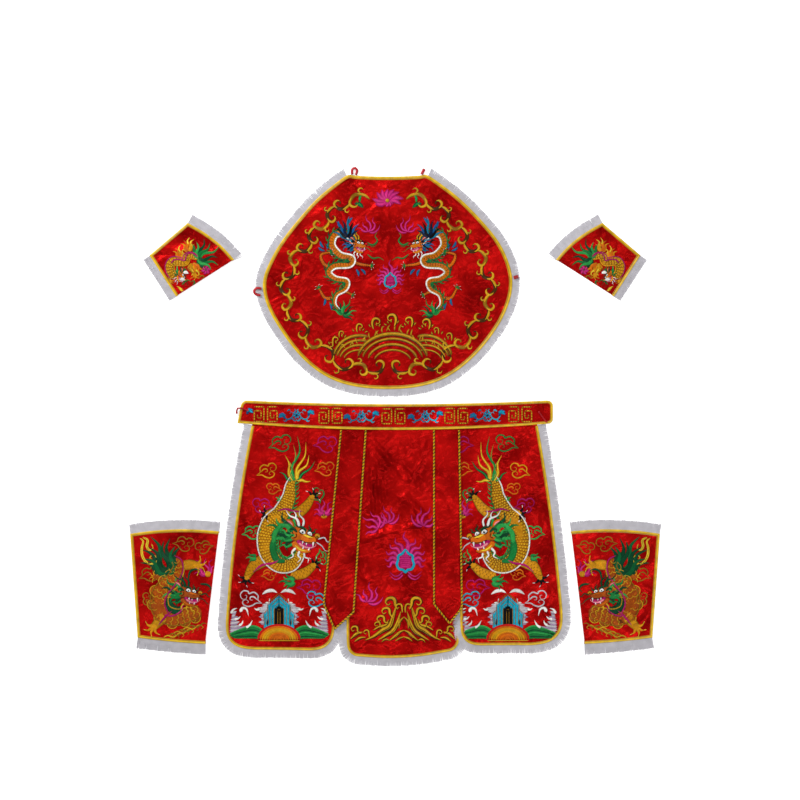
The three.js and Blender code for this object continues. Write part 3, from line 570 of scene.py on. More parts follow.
def swept_mesh(name, corners, splines, materials):
    """One mesh of many swept splines. Each spline is (points, radii, material index)"""
    section = section_curve("section", corners)
    curve = bpy.data.curves.new(name, "CURVE")
    curve.dimensions = "3D"
    curve.twist_mode = "Z_UP"
    curve.bevel_mode = "OBJECT"
    curve.bevel_object = section
    for material in materials:
        curve.materials.append(finish(material))
    for points, radii, index in splines:
        spline = curve.splines.new("POLY")
        spline.points.add(len(points) - 1)
        spline.points.foreach_set("co", np.c_[points * MM, np.ones(len(points))].ravel())
        spline.points.foreach_set("radius", np.asarray(radii) * MM)
        spline.material_index = index
    maker = bpy.data.objects.new("maker", curve)
    bpy.context.scene.collection.objects.link(maker)
    graph = bpy.context.evaluated_depsgraph_get()
    mesh = bpy.data.meshes.new_from_object(maker.evaluated_get(graph))
    for made in (maker, section):
        data = made.data
        bpy.data.objects.remove(made)
        bpy.data.curves.remove(data)
    mesh.name = name
    wanted = len(corners) * sum(len(points) for points, _, _ in splines)
    if len(mesh.vertices) != wanted:
        raise RuntimeError(f"{name}: {len(mesh.vertices)} vertices, and {wanted} were expected")
    bm = bmesh.new()
    bm.from_mesh(mesh)
    bmesh.ops.holes_fill(bm, edges=[edge for edge in bm.edges if edge.is_boundary], sides=len(corners))
    bm.to_mesh(mesh)
    bm.free()
    return mesh


def add_attribute(mesh, name, values):
    """A number for each vertex, for the materials to read"""
    layer = mesh.attributes.new(name, "FLOAT", "POINT")
    layer.data.foreach_set("value", np.asarray(values, np.float32))


def evenly(points, spacing):
    """Points along a line at even distances"""
    points = np.asarray(points, float)
    lengths = running_length(points)
    count = max(2, int(round(lengths[-1] / spacing)) + 1)
    at = np.linspace(0, lengths[-1], count)
    return np.stack([np.interp(at, lengths, points[:, k]) for k in range(points.shape[1])], axis=1)


STRAND = [(0, 1), (1, -0.5), (-1, -0.5)]
# A thread of the fringe at four points: share of its length, share of its drop to the floor, half width
FRINGE_POINTS = [(0.0, 0.0, 0.6), (0.45, 0.35, 0.65), (0.8, 0.75, 0.62), (1.0, 0.95, 0.5)]
FRINGE_CLUMP = 7
FRINGE_START = 0.6
FRINGE_LOWEST = 0.35


def fringe_piece(name, stretches, replaces, seed):
    """Fine threads side by side. Each stretch is (chain, length, height of the cloth's top)"""
    look = bpy.context.scene.costume
    draw = random.Random(seed)
    radii = [half for _, _, half in FRINGE_POINTS]
    splines = []
    for chain, length, top in stretches:
        rows = np.c_[chain["points"], chain["steps"]]
        if chain["closed"]:
            rows = np.r_[rows, rows[:1]]
        for count, (x, y, z, *step) in enumerate(evenly(rows, look.fringe_spacing / MM)):
            if count % FRINGE_CLUMP == 0:
                clump = draw.gauss(0, 0.02)
                spread = draw.gauss(0, 0.02)
            out = unit(np.array(step))
            reach = length * (1 + spread + draw.gauss(0, 0.02))
            lean = clump + draw.gauss(0, 0.018)
            bend = draw.gauss(0, 0.02)
            high = top if top is not None else z
            rise = draw.uniform(-0.35, 0.35)
            points = []
            for share, drop, _ in FRINGE_POINTS:
                flat = np.array([x, y]) + out * (FRINGE_START + (reach - FRINGE_START) * share)
                flat += left_of(out) * reach * (lean * share + bend * share * share)
                level = (high - 0.5 + rise * share) * (1 - drop) + 0.55 * drop + 0.2 * rise
                points.append([*flat, max(level, FRINGE_LOWEST)])
            splines.append((np.array(points), radii, 0))
    mesh = swept_mesh(name, STRAND, splines, ["fringe"])
    shade(mesh, ["fringe"])
    return put_in_scene(name, mesh, replaces)


def smooth_piece(name, source, material):
    """A rounded copy of a CAD solid"""
    mesh = subdivided(merged_copy(source), name, 2)
    shade(mesh, [material])
    return put_in_scene(name, mesh, [source])


# Embroidery: strokes of satin stitch, each with its line, half width, thread, layer and shape.
# The layers are swept a gap apart, then set down on the cloth, each a small step above the one below
LAYER_GAP = 20.0
LAYER_STEP = 0.35
STITCH_LIFT = 0.12
# How far inside a cloth's edge the stitching stops, and the height in metres to look down from
MARGIN = 5.5
RAY_START = 0.1
# The section of a stroke, how near each corner is to its rim, and on which side. Nearness to the rim sets the
# painted shade of the threads' material
DOME = [(-1, 0), (-0.55, 0.3), (0.55, 0.3), (1, 0), (0, -0.15)]
DOME_RIM = [1.0, 0.45, 0.45, 1.0, 1.0]
DOME_SIDE = [-1.0, -0.55, 0.55, 1.0, 0.0]
SHAPES = {
    "even": lambda t: np.sqrt(np.clip(np.minimum(t, 1 - t) / 0.06, 0, 1)),
    "leaf": lambda t: np.clip(np.sin(math.pi * t), 0, 1) ** 0.8,
    "tail": lambda t: np.sqrt(np.clip(t / 0.1, 0, 1)) * (1 - t) ** 0.75,
    "drop": lambda t: t ** 0.7 * np.sqrt(np.clip((1 - t) / 0.14, 0, 1)),
    "disc": lambda t: np.sqrt(np.clip(1 - (2 * t - 1) ** 2, 0, 1)),
    "hook": lambda t: (0.35 + 0.65 * np.sin(math.pi * np.clip(t * 1.25, 0, 1)) ** 0.8)
    * np.sqrt(np.clip(np.minimum(t, 1 - t) / 0.05, 0, 1)),
}


STEP = 3.3


def smooth_line(points, step):
    """An even row of points on a smooth line through the given ones"""
    given = np.asarray(points, float)
    if len(given) == 2:
        return evenly(given, min(step, np.linalg.norm(given[1] - given[0]) / 2))
    ends = np.vstack([2 * given[0] - given[1], given, 2 * given[-1] - given[-2]])
    t = np.linspace(0, 1, 9)[:-1, None]
    spans = [b + 0.5 * t * ((c - a) + t * ((2 * a - 5 * b + 4 * c - d) + t * (3 * b - a - 3 * c + d)))
             for a, b, c, d in zip(ends, ends[1:], ends[2:], ends[3:])]
    dense = np.vstack([*spans, given[-1:]])
    length = np.linalg.norm(np.diff(dense, axis=0), axis=1).sum()
    return evenly(dense, min(step, length / 3))


def stroke(work, points, half, thread, layer=1, shape="even", step=STEP):
    """One stroke. half is its half width, or a list of them from start to end"""
    line = smooth_line(points, step)
    share = np.linspace(0, 1, len(line))
    if np.ndim(half):
        radii = np.interp(share, np.linspace(0, 1, len(half)), half)
        radii = radii * np.sqrt(np.clip(np.minimum(share, 1 - share) / 0.03, 0, 1))
    else:
        radii = half * SHAPES[shape](share)
    work.append((line, np.maximum(radii, 0.06), thread, layer))


def dot(work, x, y, radius, thread, layer=2):
    """A round spot"""
    stroke(work, [(x - radius, y), (x + radius, y)], radius, thread, layer, "disc", radius / 3)


def set_in(x, y, turn=0.0, size=1.0, flip=1):
    """A function that puts a motif's own points in place on the cloth"""
    ahead = compass(turn)

    def put(points):
        own = np.atleast_2d(np.asarray(points, float)) * size * (flip, 1)
        return own @ np.array([ahead, left_of(ahead)]) + (x, y)

    return put


def spiral(x, y, radius, turns):
    """Points that wind inwards round a middle"""
    share = np.linspace(0, 1, 9)
    angle = turns * 2 * math.pi * share
    reach = radius * (1 - 0.8 * share)
    return np.stack([x + reach * np.cos(angle), y + reach * np.sin(angle)], axis=1)


def reflected(work, axis):
    """The same strokes on the other side of an upright axis"""
    return [(line * (-1, 1) + (2 * axis, 0), radii, thread, layer) for line, radii, thread, layer in work]


def cloth_height(tree, x, y):
    """The height of a cloth's top at a point, or None beside the cloth"""
    hit = tree.ray_cast(Vector((x * MM, y * MM, RAY_START)), Vector((0, 0, -1)))[0]
    return None if hit is None else hit.z / MM


def kept_strokes(work, cloth, tree):
    """The strokes of a cloth, cut where they would run under its tape or off its edge"""
    lines = np.vstack([line for line, *_ in work])
    clear = rim_distance(lines, chains[cloth]) > MARGIN
    first = 0
    for line, radii, thread, layer in work:
        inside = clear[first:first + len(line)].copy()
        first += len(line)
        for k in np.flatnonzero(inside):
            inside[k] = cloth_height(tree, *line[k]) is not None
        runs = np.split(np.arange(len(line)), np.flatnonzero(np.diff(inside.astype(int))) + 1)
        run = max((run for run in runs if inside[run[0]]), key=len, default=())
        if len(run) > 2:
            yield line[run], radii[run], thread, layer


def embroidery_piece(name, work, cloth, seed):
    """All strokes of one cloth as one mesh that follows its surface"""
    bm = bmesh.new()
    bm.from_mesh(pieces[cloth].data)
    tree = BVHTree.FromBMesh(bm)
    bm.free()
    work = list(kept_strokes(work, cloth, tree))
    threads = sorted({thread for _, _, thread, _ in work})
    draw = random.Random(seed)
    splines, runs, tints, halves = [], [], [], []
    for line, radii, thread, layer in work:
        splines.append((np.c_[line, np.full(len(line), layer * LAYER_GAP)], radii, threads.index(thread)))
        runs.append(np.repeat(running_length(line), len(DOME)))
        tints.append(np.full(len(line) * len(DOME), draw.uniform(0.82, 1.12)))
        halves.append(np.repeat(radii, len(DOME)))
    mesh = swept_mesh(name, DOME, splines, threads)
    co = places(mesh)
    halves = np.concatenate(halves)
    count = len(co) // len(DOME)
    add_attribute(mesh, "run", np.concatenate(runs) * MM)
    add_attribute(mesh, "across", halves * np.tile(DOME_SIDE, count) * MM)
    # The rim share darkens each stroke towards its edges in the threads' material: painted shade
    add_attribute(mesh, "rim", np.tile(DOME_RIM, count))
    add_attribute(mesh, "tint", np.concatenate(tints))
    layer = np.floor((co[:, 2] + LAYER_GAP / 4) / LAYER_GAP)
    dome = co[:, 2] - layer * LAYER_GAP
    cap = np.clip(0.65 - 0.045 * halves, 0.22, 0.5)
    dome = np.where(dome > 0, cap * np.tanh(dome / cap), np.maximum(dome, -0.25))
    corners = co[:, :2].reshape(-1, len(DOME), 2)
    middles = 2 * corners[:, 4] - 0.5 * (corners[:, 0] + corners[:, 3])
    for k, spot in enumerate(co[:, :2]):
        height = cloth_height(tree, *spot)
        if height is None:
            height = cloth_height(tree, *middles[k // len(DOME)])
        co[k, 2] = (1.0 if height is None else height) + STITCH_LIFT + layer[k] * LAYER_STEP + dome[k]
    set_places(mesh, co)
    mesh.shade_smooth()
    mesh.set_sharp_from_angle(angle=SHARP)
    return put_in_scene(name, mesh)


# Motifs
def leaf(work, x, y, turn, length, width, light, dark, layer=1, put=np.asarray):
    """A leaf, petal or flame tongue with a shaded side"""
    root, ahead = np.array([x, y]), compass(turn) * length
    bend = root + ahead * 0.5 + left_of(compass(turn)) * width * 0.35
    stroke(work, put([root, bend, root + ahead]), width / 2, dark, layer, "leaf")
    stroke(work, put([root + ahead * 0.12, bend, root + ahead * 0.9]), width * 0.27, light, layer + 1, "leaf")


def petals(work, x, y, turns, length, width, light, dark):
    """Leaves that grow from one point, at a list of angles or of pairs of an angle and a length"""
    for turn in turns:
        turn, reach = turn if np.ndim(turn) else (turn, length)
        leaf(work, x, y, turn, reach, width, light, dark)


def shaded(work, line, dark_half, light_half, dark, light, shape="even"):
    """A stroke with another and thinner one over it"""
    stroke(work, line, dark_half, dark, 1, shape)
    stroke(work, line, light_half, light, 2, shape)


def bands(work, line, half, thread, layer, step):
    """Straight even strokes from each point of a line to the next"""
    for pair in zip(line, line[1:]):
        stroke(work, pair, half, thread, layer, "even", step)


def plume(work, x, y, tongues, length, width, threads, spread, middle, sway, layer=1, put=np.asarray):
    """Wavy tongues that fan out from one root, as in flames and tails"""
    for k in range(tongues):
        share = k / (tongues - 1) - 0.5
        ahead = compass(middle - share * spread)
        reach = length * (1 - 0.55 * abs(share)) * (0.86 if k % 2 else 1)
        aside = left_of(ahead) * reach * sway * (1 if share <= 0 else -1)
        ahead = ahead * reach
        line = np.array([ahead * 0, ahead * 0.3 + aside, ahead * 0.68 - aside * 0.5, ahead + aside * 0.6])
        stroke(work, put(line + (x, y)), width / 2, threads[k % len(threads)], layer + k % 2, "tail")


CLOUD_LINES = [
    [(-21, -3), (-14, 1), (-13, 8), (-6, 12), (1, 9), (3, 12), (10, 12), (14, 6), (11, 0), (5, 0), (4, 5),
        (8, 6)], [(-21, -3), (-12, -4), (-7, -8), (0, -11), (7, -9), (9, -4), (4, -1), (0, -4), (3, -6)],
    [(-13, 1), (-7, 5), (-2, 4), (-2, 0), (-6, 0)],
]


def cloud(work, x, y, size, thread, turn, flip, half):
    """A curling cloud in outline: three lobes, two spirals and a tail"""
    put = set_in(x, y, turn, size, flip)
    for row in CLOUD_LINES:
        stroke(work, put(row), half, thread, 1, "hook", 2.2)


# Points of a scroll's stem and spur, as shares of its length along and to one side
SCROLL_STEM = [
    (0, 0), (0.3, 0.24), (0.72, 0.3), (1, 0.04), (1.02, -0.2), (0.8, -0.3), (0.64, -0.16), (0.73, -0.03),
]
SCROLL_SPUR = [(0.42, 0.28), (0.56, 0.5), (0.42, 0.62), (0.3, 0.52)]


def scroll(work, start, end, side, half, light, dark):
    """A thick curling stem from one point to another, hooked at its end, with a middle in painted shade: the
    dark stroke shows there, and lit gold covers the rest
    """
    along = np.subtract(end, start)
    aside = left_of(along) * side
    line, spur = (np.array(row) @ [along, aside] + start for row in (SCROLL_STEM, SCROLL_SPUR))
    stroke(work, line, half, dark, 1, "hook", 2.2)
    stroke(work, spur, half * 0.62, dark, 1, "hook", 2.2)
    stroke(work, spur, half * 0.36, light, 2, "leaf", 2.2)
    fine = smooth_line(line, 2.2)
    # The gold is the stem's lit side, set off to one side; the dark stroke left bare beside it is painted
    # shade
    lit = fine + directions(fine)[1] * 0.22 * half * side
    for first, last in ((0.03, 0.4), (0.5, 0.92)):
        first = int(first * len(lit))
        stroke(work, lit[first:max(int(last * len(lit)), first + 4)], half * 0.68, light, 2, "leaf", 2.2)


# Tongues of flame on one side of a pearl: angle from upright and length
PEARL_FLAMES = [
    (0, 40), (22, 33), (-22, 34), (40, 31), (-40, 31), (60, 29), (-60, 29), (80, 27), (-80, 27), (100, 25),
    (-100, 25),
]
PEARL_EDGE = [
    (0, 17), (4, 11), (9, 8), (9.5, 2), (11, -3), (8, -9), (3, -10), (0, -13), (-3, -10), (-8, -9), (-11, -3),
    (-9.5, 2), (-9, 8), (-4, 11), (0, 17),
]


def pearl(work, x, y, size):
    """A flaming pearl: a scalloped drop with tongues of flame around it"""
    put = set_in(x, y, 0, size)
    for angle, reach in PEARL_FLAMES:
        out = compass(90 - angle)
        aside = left_of(out) * (1 if angle > 0 else -1)
        root, tip = out * (8, 9) - (0, 1), out * reach
        line = put([root, (root + tip) / 2 + aside * 3.2, (root + 3 * tip) / 4 - aside * 2.4, tip])
        shaded(work, line, np.array([1.4, 2.6, 2.7, 2.1, 1.2, 0.1]) * size,
               np.array([0.5, 1.6, 1.7, 1.2, 0.5, 0.1]) * size, "magenta", "pink")
    for angle in (-60, -120):
        c = compass(angle)[0]
        for low in (0, 4):
            line = put([(6 * c, -12 - low), (16 * c, -17 - low), (28 * c, -18 - low), (42 * c, -12 - low)])
            shaded(work, line, 1.6 * size, 0.7 * size, "magenta", "pink", "tail")
    stroke(work, put(PEARL_EDGE), 1.7 * size, "cyan", 3, "even", 2)
    for row in range(7):
        y_row = -8 + row * 2.7
        wide = 8 if row < 5 else 5.5 - 1.5 * (row - 5)
        for rise, half, thread, layer in ((0, 1.5, "magenta", 1), (1.2, 0.45, "pink", 2)):
            line = [(-wide, y_row + rise), (0, y_row + rise + 1), (wide, y_row + rise)]
            stroke(work, put(line), half * size, thread, layer)


def outlined_body(work, line, half, look):
    """A body that tapers to a blunt end, over its dark outline"""
    share = np.linspace(0, 1, len(line))
    rounded = np.sqrt(np.clip(np.minimum(share, 1 - share) / 0.02, 0, 1))
    for extra, thread, layer in ((look["outline"], look["line"], 0), (0, look["body"], 1)):
        work.append((line, np.maximum((half + extra) * rounded, 0.1), thread, layer))


def serpent(work, spine, widths, look, belly, scale, fin):
    """A scaled body along a spine, with a beaded belly edge and fins down its back"""
    line = smooth_line(spine, STEP)
    half = np.interp(np.linspace(0, 1, len(line)), np.linspace(0, 1, len(widths)), widths)
    ahead, aside = directions(line)
    outlined_body(work, line, half, look)
    r = scale * 0.52
    for row, k in enumerate(range(2, len(line) - 2, max(1, int(round(scale / STEP))))):
        count = max(1, int(round(2 * half[k] * 0.86 / scale)))
        for j in range(count + row % 2):
            at = (j + 0.5 - 0.5 * (row % 2)) / count * 2 - 1
            middle = line[k] + aside[k] * at * half[k] * 0.84
            arc = [middle + r * (ahead[k] * a + aside[k] * b) for a,
                   b in ((0, 1), (0.9, 0.55), (0.9, -0.55), (0, -1))]
            stroke(work, arc, look["scale_half"], look["scales"], 2, "even", scale * 0.46)
            stroke(work, [middle - ahead[k] * r * 0.5, middle + ahead[k] * r * 0.45], min(scale * 0.2, 1.3),
                   look["lights"], 2, "leaf", scale * 0.3)
    rim = line + aside * (belly * half * 0.94)[:, None]
    back = line - aside * (belly * half * 0.96)[:, None]
    stroke(work, rim[1:-1], look["belly_half"], look["belly"], 3, "even", STEP)
    for k in range(2, len(rim) - 2, 2):
        across = aside[k] * look["belly_half"]
        stroke(work, [rim[k] - across, rim[k] + across], 0.35, "umber", 4, "even", 1)
    stroke(work, back[1:-1], look["back_half"], look["back"], 3, "even", STEP)
    if "stripe" in look:
        stripe = line + aside * (belly * half * 0.48)[:, None]
        stroke(work, stripe[1:-1], 1.1, look["stripe"], 3, "even", STEP)
    for k in range(2, len(back) - 3, max(2, int(fin / STEP))) if fin else ():
        out = -belly * aside[k] * fin
        row = [back[k] + ahead[k] * 3, back[k] + out * 0.45, back[k] + out * 0.8 - ahead[k] * fin * 0.7]
        stroke(work, row, fin * 0.2, look["fins"][k % len(look["fins"])], 3, "tail", 2)
    return line, half


def scallops(work, line, half, side, every, look):
    """Round lobes along one edge of a body"""
    ahead, aside = directions(line)
    r = 0.5 * every * STEP
    for k in range(every, len(line) - every // 2, every):
        out = aside[k] * side
        middle = line[k] + out * half[k] * 0.72
        arc = [middle + r * (out * math.cos(turn) + ahead[k] * math.sin(turn)) for turn in (-1.5, -0.8, 0,
                                                                                            0.8, 1.5)]
        dot(work, *middle, r, look["body"], 1)
        stroke(work, arc, 1.0, look["scales"], 2, "even", 3)


def limb(work, points, widths, look, claw, spread, scale):
    """A leg with scales and hooked claws"""
    stroke(work, points, np.add(widths, look["outline"]), look["line"], 0)
    stroke(work, points, widths, look["body"], 1)
    line = smooth_line(points, 2.5)
    half = np.interp(np.linspace(0, 1, len(line)), np.linspace(0, 1, len(widths)), widths)
    ahead, aside = directions(line)
    r = scale * 0.45
    for row, k in enumerate(range(1, len(line) - 1, max(1, int(scale / 3)))):
        for at in ((-0.5, 0.5) if row % 2 else (0,)):
            middle = line[k] + aside[k] * at * half[k]
            arc = [middle + aside[k] * r, middle + ahead[k] * r, middle - aside[k] * r]
            stroke(work, arc, look["scale_half"], look["scales"], 2, "even", scale * 0.46)
    foot = widths[-1]
    dot(work, *line[-1], foot * 1.15, look["body"], 2)
    heading = math.degrees(math.atan2(ahead[-1][1], ahead[-1][0]))
    for k in range(4):
        out = compass(heading + (k / 3 - 0.5) * spread)
        hook = left_of(out) * claw * (1 if k < 2 else -1)
        root = line[-1] + out * foot * 0.6
        out = out * claw
        end = root + out - hook * 0.12
        stroke(work, [root, root + out * 0.55 + hook * 0.12, end], claw * 0.25, look["claws"], 3, "tail", 2)
        stroke(work, [root + out * 0.8, end, end + out * 0.18 - hook * 0.14], claw * 0.055, look["tips"], 4,
               "leaf", 2)


# A head seen from the side, about 80 mm long, facing right: thread, layer, half width, shape, points
HEAD = [
    ("cheek", 2, 3.6, "tail", [(-4, 0), (-18, -4), (-26, 2), (-38, -2)]),
    ("cheek", 2, 3.2, "tail", [(-6, -8), (-18, -14), (-24, -10), (-36, -16)]),
    ("cheek", 2, 2.8, "tail", [(-2, -14), (-12, -24), (-18, -22), (-28, -30)]),
    ("beard", 3, 2.4, "tail", [(4, -20), (0, -30), (4, -36), (-4, -44)]),
    ("beard", 3, 2.2, "tail", [(12, -23), (12, -32), (18, -36), (14, -45)]),
    ("beard", 3, 2.0, "tail", [(20, -24), (24, -31), (31, -32), (32, -40)]),
    ("face", 2, [6, 13, 14, 10], "", [(-22, 0), (-8, 3), (6, 6), (15, 5)]),
    ("mouth", 2, [3, 7, 7, 3], "", [(2, -8), (14, -12), (24, -12), (33, -7)]),
    ("face", 3, [5, 5.5, 4.5, 2.5], "", [(-4, -12), (8, -20), (20, -21), (30, -17)]),
    ("tongue", 3, 2.4, "tail", [(6, -11), (18, -14), (29, -12), (36, -6), (34, -2)]),
    ("face", 3, [9, 7.5, 6.5, 5.5], "", [(8, 3), (18, 0), (26, 1), (33, 5)]),
    ("nose", 4, 4.6, "disc", [(29, 10), (33, 11), (38, 9)]),
    ("line", 5, 1.1, "hook", [(31, 8), (35, 10), (36, 7), (33, 7)]),
    ("lights", 4, 2.0, "leaf", [(8, 6), (18, 5), (27, 6)]),
    ("lights", 4, 1.8, "leaf", [(0, -16), (12, -21), (24, -20)]),
    ("white", 5, 1.8, "tail", [(12, -5), (13, -11)]), ("white", 5, 1.5, "tail", [(19, -6), (20, -11)]),
    ("white", 5, 2.1, "tail", [(30, -1), (32, -10)]), ("white", 5, 1.6, "tail", [(16, -19), (16, -13)]),
    ("white", 5, 1.8, "tail", [(26, -18), (27, -12)]),
    ("line", 4, 0.8, "even", [(6, -5), (16, -6), (26, -4), (34, 0)]),
    ("line", 4, 0.7, "even", [(-6, -6), (-1, -1), (-4, 4)]),
    ("line", 4, 0.7, "even", [(-12, -5), (-8, 0), (-11, 5)]),
    ("line", 4, 0.7, "even", [(20, 2), (24, 6), (23, 9)]),
    ("line", 4, 5.2, "disc", [(0, 9), (6, 10.5), (12, 9)]),
    ("line", 4, 4.2, "disc", [(14, 10.5), (19, 11.5), (24, 9.5)]),
    ("white", 5, 3.9, "leaf", [(1, 9), (6, 10.5), (12, 8.5)]),
    ("black", 6, 2.1, "disc", [(5, 9.5), (9, 9.5)]),
    ("white", 5, 3.1, "leaf", [(15, 10.5), (19, 11.5), (24, 9)]),
    ("black", 6, 1.7, "disc", [(18.5, 10.5), (21.8, 10.5)]),
    ("brow", 5, 2.6, "tail", [(12, 13), (4, 17), (-4, 16), (-12, 20)]),
    ("brow", 5, 2.2, "tail", [(16, 14), (19, 19), (14, 22), (16, 27)]),
    ("brow", 5, 1.8, "tail", [(22, 13), (27, 16), (26, 20), (31, 23)]),
    ("brow", 4, 2.4, "hook", [(-2, 6), (-10, 10), (-16, 7), (-13, 3)]),
    ("face", 4, 3.2, "leaf", [(-10, 13), (-18, 20), (-30, 22)]),
    ("tongue", 5, 1.4, "leaf", [(-13, 15), (-19, 19), (-26, 20)]),
    ("horn", 4, 2.8, "tail", [(-2, 17), (-10, 28), (-24, 30), (-34, 38)]),
    ("horn", 4, 1.9, "tail", [(-13, 28), (-14, 35), (-20, 40)]),
    ("horn", 4, 2.2, "tail", [(4, 19), (2, 30), (-8, 37), (-10, 46)]),
    ("whisker", 5, 1.5, "tail", [(36, 6), (46, 12), (53, 7), (61, 10), (68, 18)]),
    ("whisker", 5, 1.3, "tail", [(35, 0), (46, -3), (55, -9), (66, -7)]),
]


MANE_ROOT = (-14, 2)


def head(work, x, y, turn, size, look, mane):
    """A horned head with a mane of tongues behind it"""
    put = set_in(x, y, turn, size)
    plume(work, *MANE_ROOT, mane, 46, 11 * size, look["mane"], 190, 180, 0.14, 2, put)
    for kind, level, half, shape, points in HEAD:
        line, half = put(points), np.multiply(half, size)
        if kind in ("face", "horn", "nose", "cheek"):
            stroke(work, line, half + 0.35 + 0.35 * size, look["line"], level, shape or "even", 2)
        stroke(work, line, half, look.get(kind, kind), level + 1, shape or "even", 2)


# The threads of each dragon, and the half widths of its scales' lines and of its edges
LOOK = {
    "outline": 0.9, "scale_half": 0.5, "belly_half": 1.4, "back_half": 1.2, "mouth": "magenta",
    "tongue": "rose", "line": "dark", "beard": "white",
}
BIB_LOOK = {
    **LOOK, "body": "orange", "scales": "umber", "lights": "amber", "belly_half": 2.1, "belly": "white",
    "back": "green", "back_half": 1.7, "stripe": "amber", "fins": ["green", "forest"], "claws": "green",
    "tips": "white", "face": "orange", "nose": "red", "brow": "black", "horn": "gold", "cheek": "teal",
    "whisker": "green", "mane": ["blue", "black", "teal"],
}
SKIRT_LOOK = {
    **LOOK, "body": "amber", "scales": "umber", "lights": "yellow", "belly": "white", "back": "green",
    "fins": ["green", "leaf"], "claws": "black", "tips": "white", "face": "orange", "nose": "amber",
    "brow": "forest", "horn": "white", "cheek": "leaf", "whisker": "silver",
    "mane": ["forest", "green", "leaf"], "scale_half": 0.6, "belly_half": 1.7,
}
GUARD_LOOK = {
    **SKIRT_LOOK, "body": "rust", "scales": "gold", "lights": "orange", "belly": "gold", "back": "brass",
    "claws": "amber", "tips": "yellow", "face": "rust", "cheek": "green", "whisker": "forest",
    "horn": "forest", "beard": "gold", "scale_half": 0.9, "outline": 0.5,
}
CUFF_LOOK = {
    **GUARD_LOOK, "body": "amber", "scales": "umber", "lights": "yellow", "face": "orange", "beard": "white",
    "horn": "green", "belly": "amber", "back": "magenta", "scale_half": 0.5,
}

BIB_AXIS = -17.5
BIB_SCROLL = [
    (-62.5, 543), (-111, 539), (-147.5, 525.5), (-164, 491.5), (-197.5, 474), (-207.5, 437.5), (-239, 416.5),
    (-257, 382.5), (-270, 345.5), (-276, 307.5), (-268.5, 270.5), (-242.5, 241.5), (-224, 201.5),
    (-191, 176.5), (-156, 145.5), (-111, 125.5), (-72, 115.5), (-30, 127.5),
]
BIB_SPINE = [
    (-95, 429), (-119, 455.5), (-149, 455.5), (-158, 429), (-137.5, 403.5), (-109, 395.5), (-114, 380.5),
    (-151, 376.5), (-166, 360.5), (-149, 344.5), (-121, 338.5), (-124, 319.5), (-147, 304.5), (-151, 280.5),
    (-135, 262.5),
]
BIB_WIDTHS = [7.5, 8, 8.4, 8.8, 8.8, 8.6, 8.2, 8, 7.6, 7, 6.4, 5.8, 5, 4, 2.6]
# Legs: points, half widths, length of the claws and how far they spread
BIB_LIMBS = [
    ([(-115, 392.5), (-90, 381.5), (-62.5, 377.5)], [5, 3.6, 2.4], 9, 110),
    ([(-157.5, 371.5), (-177.5, 381.5), (-185, 404), (-164, 410.5)], [5, 4, 3.2, 2.4], 9, 120),
    ([(-155, 296.5), (-175, 296.5), (-189, 319)], [4.6, 3.6, 2.4], 9, 120),
    ([(-140, 309), (-122.5, 311.5), (-109, 305.5)], [4, 3.2, 2.4], 8, 110),
]
# Blue leaves beside the dragon: place and angle
BIB_LEAVES = [
    (-116, 480.5, 60), (-135, 470.5, 110), (-175, 296.5, -100), (-164, 285.5, -75), (-97.5, 369, -70),
    (-86, 369, -50), (-177.5, 421.5, 120), (-169, 417.5, 75), (-175, 414, 150),
]
# Angle and length of the lotus's long petals
LOTUS = [(90, 30), (62, 33), (118, 33), (38, 36), (142, 36), (8, 40), (172, 40), (-14, 34), (194, 34)]
# Curls of foam over the bib's sea: top point, height and side
BIB_CURLS = [
    (-150, 191.5, 14, 1), (-135, 207.5, 12, 1), (-90, 224, 15, 1), (-49, 235.5, 20, 1), (-5, 244, 22, -1),
    (37.5, 239, 18, -1), (81, 234, 19, -1), (105, 216.5, 12, -1), (137.5, 201.5, 14, -1),
]


def bib_side():
    """The left half of the bib's embroidery"""
    work = []
    for k, (start, end) in enumerate(zip(BIB_SCROLL, BIB_SCROLL[1:])):
        scroll(work, start, end, 1 if k % 2 else -1, 4.7, "gold", "umber" if k % 3 else "brass")
    leaf(work, -88, 534.5, 78, 22, 7, "leaf", "green")
    leaf(work, -96, 528.5, 200, 4, 3, "green", "forest")
    leaf(work, -102, 532.5, -25, 26, 11, "green", "forest")
    wisp(work, set_in(-67.5, 461.5, 14, 1.25), 1.1)
    serpent(work, BIB_SPINE, BIB_WIDTHS, BIB_LOOK, 1, 5.0, 11)
    for points, widths, claw, spread in BIB_LIMBS:
        limb(work, points, widths, BIB_LOOK, claw, spread, 4.5)
    for x, y, turn in BIB_LEAVES:
        leaf(work, x, y, turn, 20, 6.5, "teal", "blue", 2)
    plume(work, -130, 256.5, 9, 42, 8, ["leaf", "green", "forest"], 190, 62, 0.1, 2)
    head(work, -97.5, 429, -14, 0.74, BIB_LOOK, 9)
    plume(work, -119, 447.5, 8, 56, 11, ["teal", "black", "blue", "navy"], 125, 96, 0.06, 4)
    for points in ([(-70, 435.5), (-55, 429), (-44, 439), (-50, 451.5), (-44, 460.5)],
                   [(-70, 406.5), (-55, 395.5), (-40, 397.5), (-27.5, 390)]):
        stroke(work, points, 2.0, "green", 4, "hook")
    return work


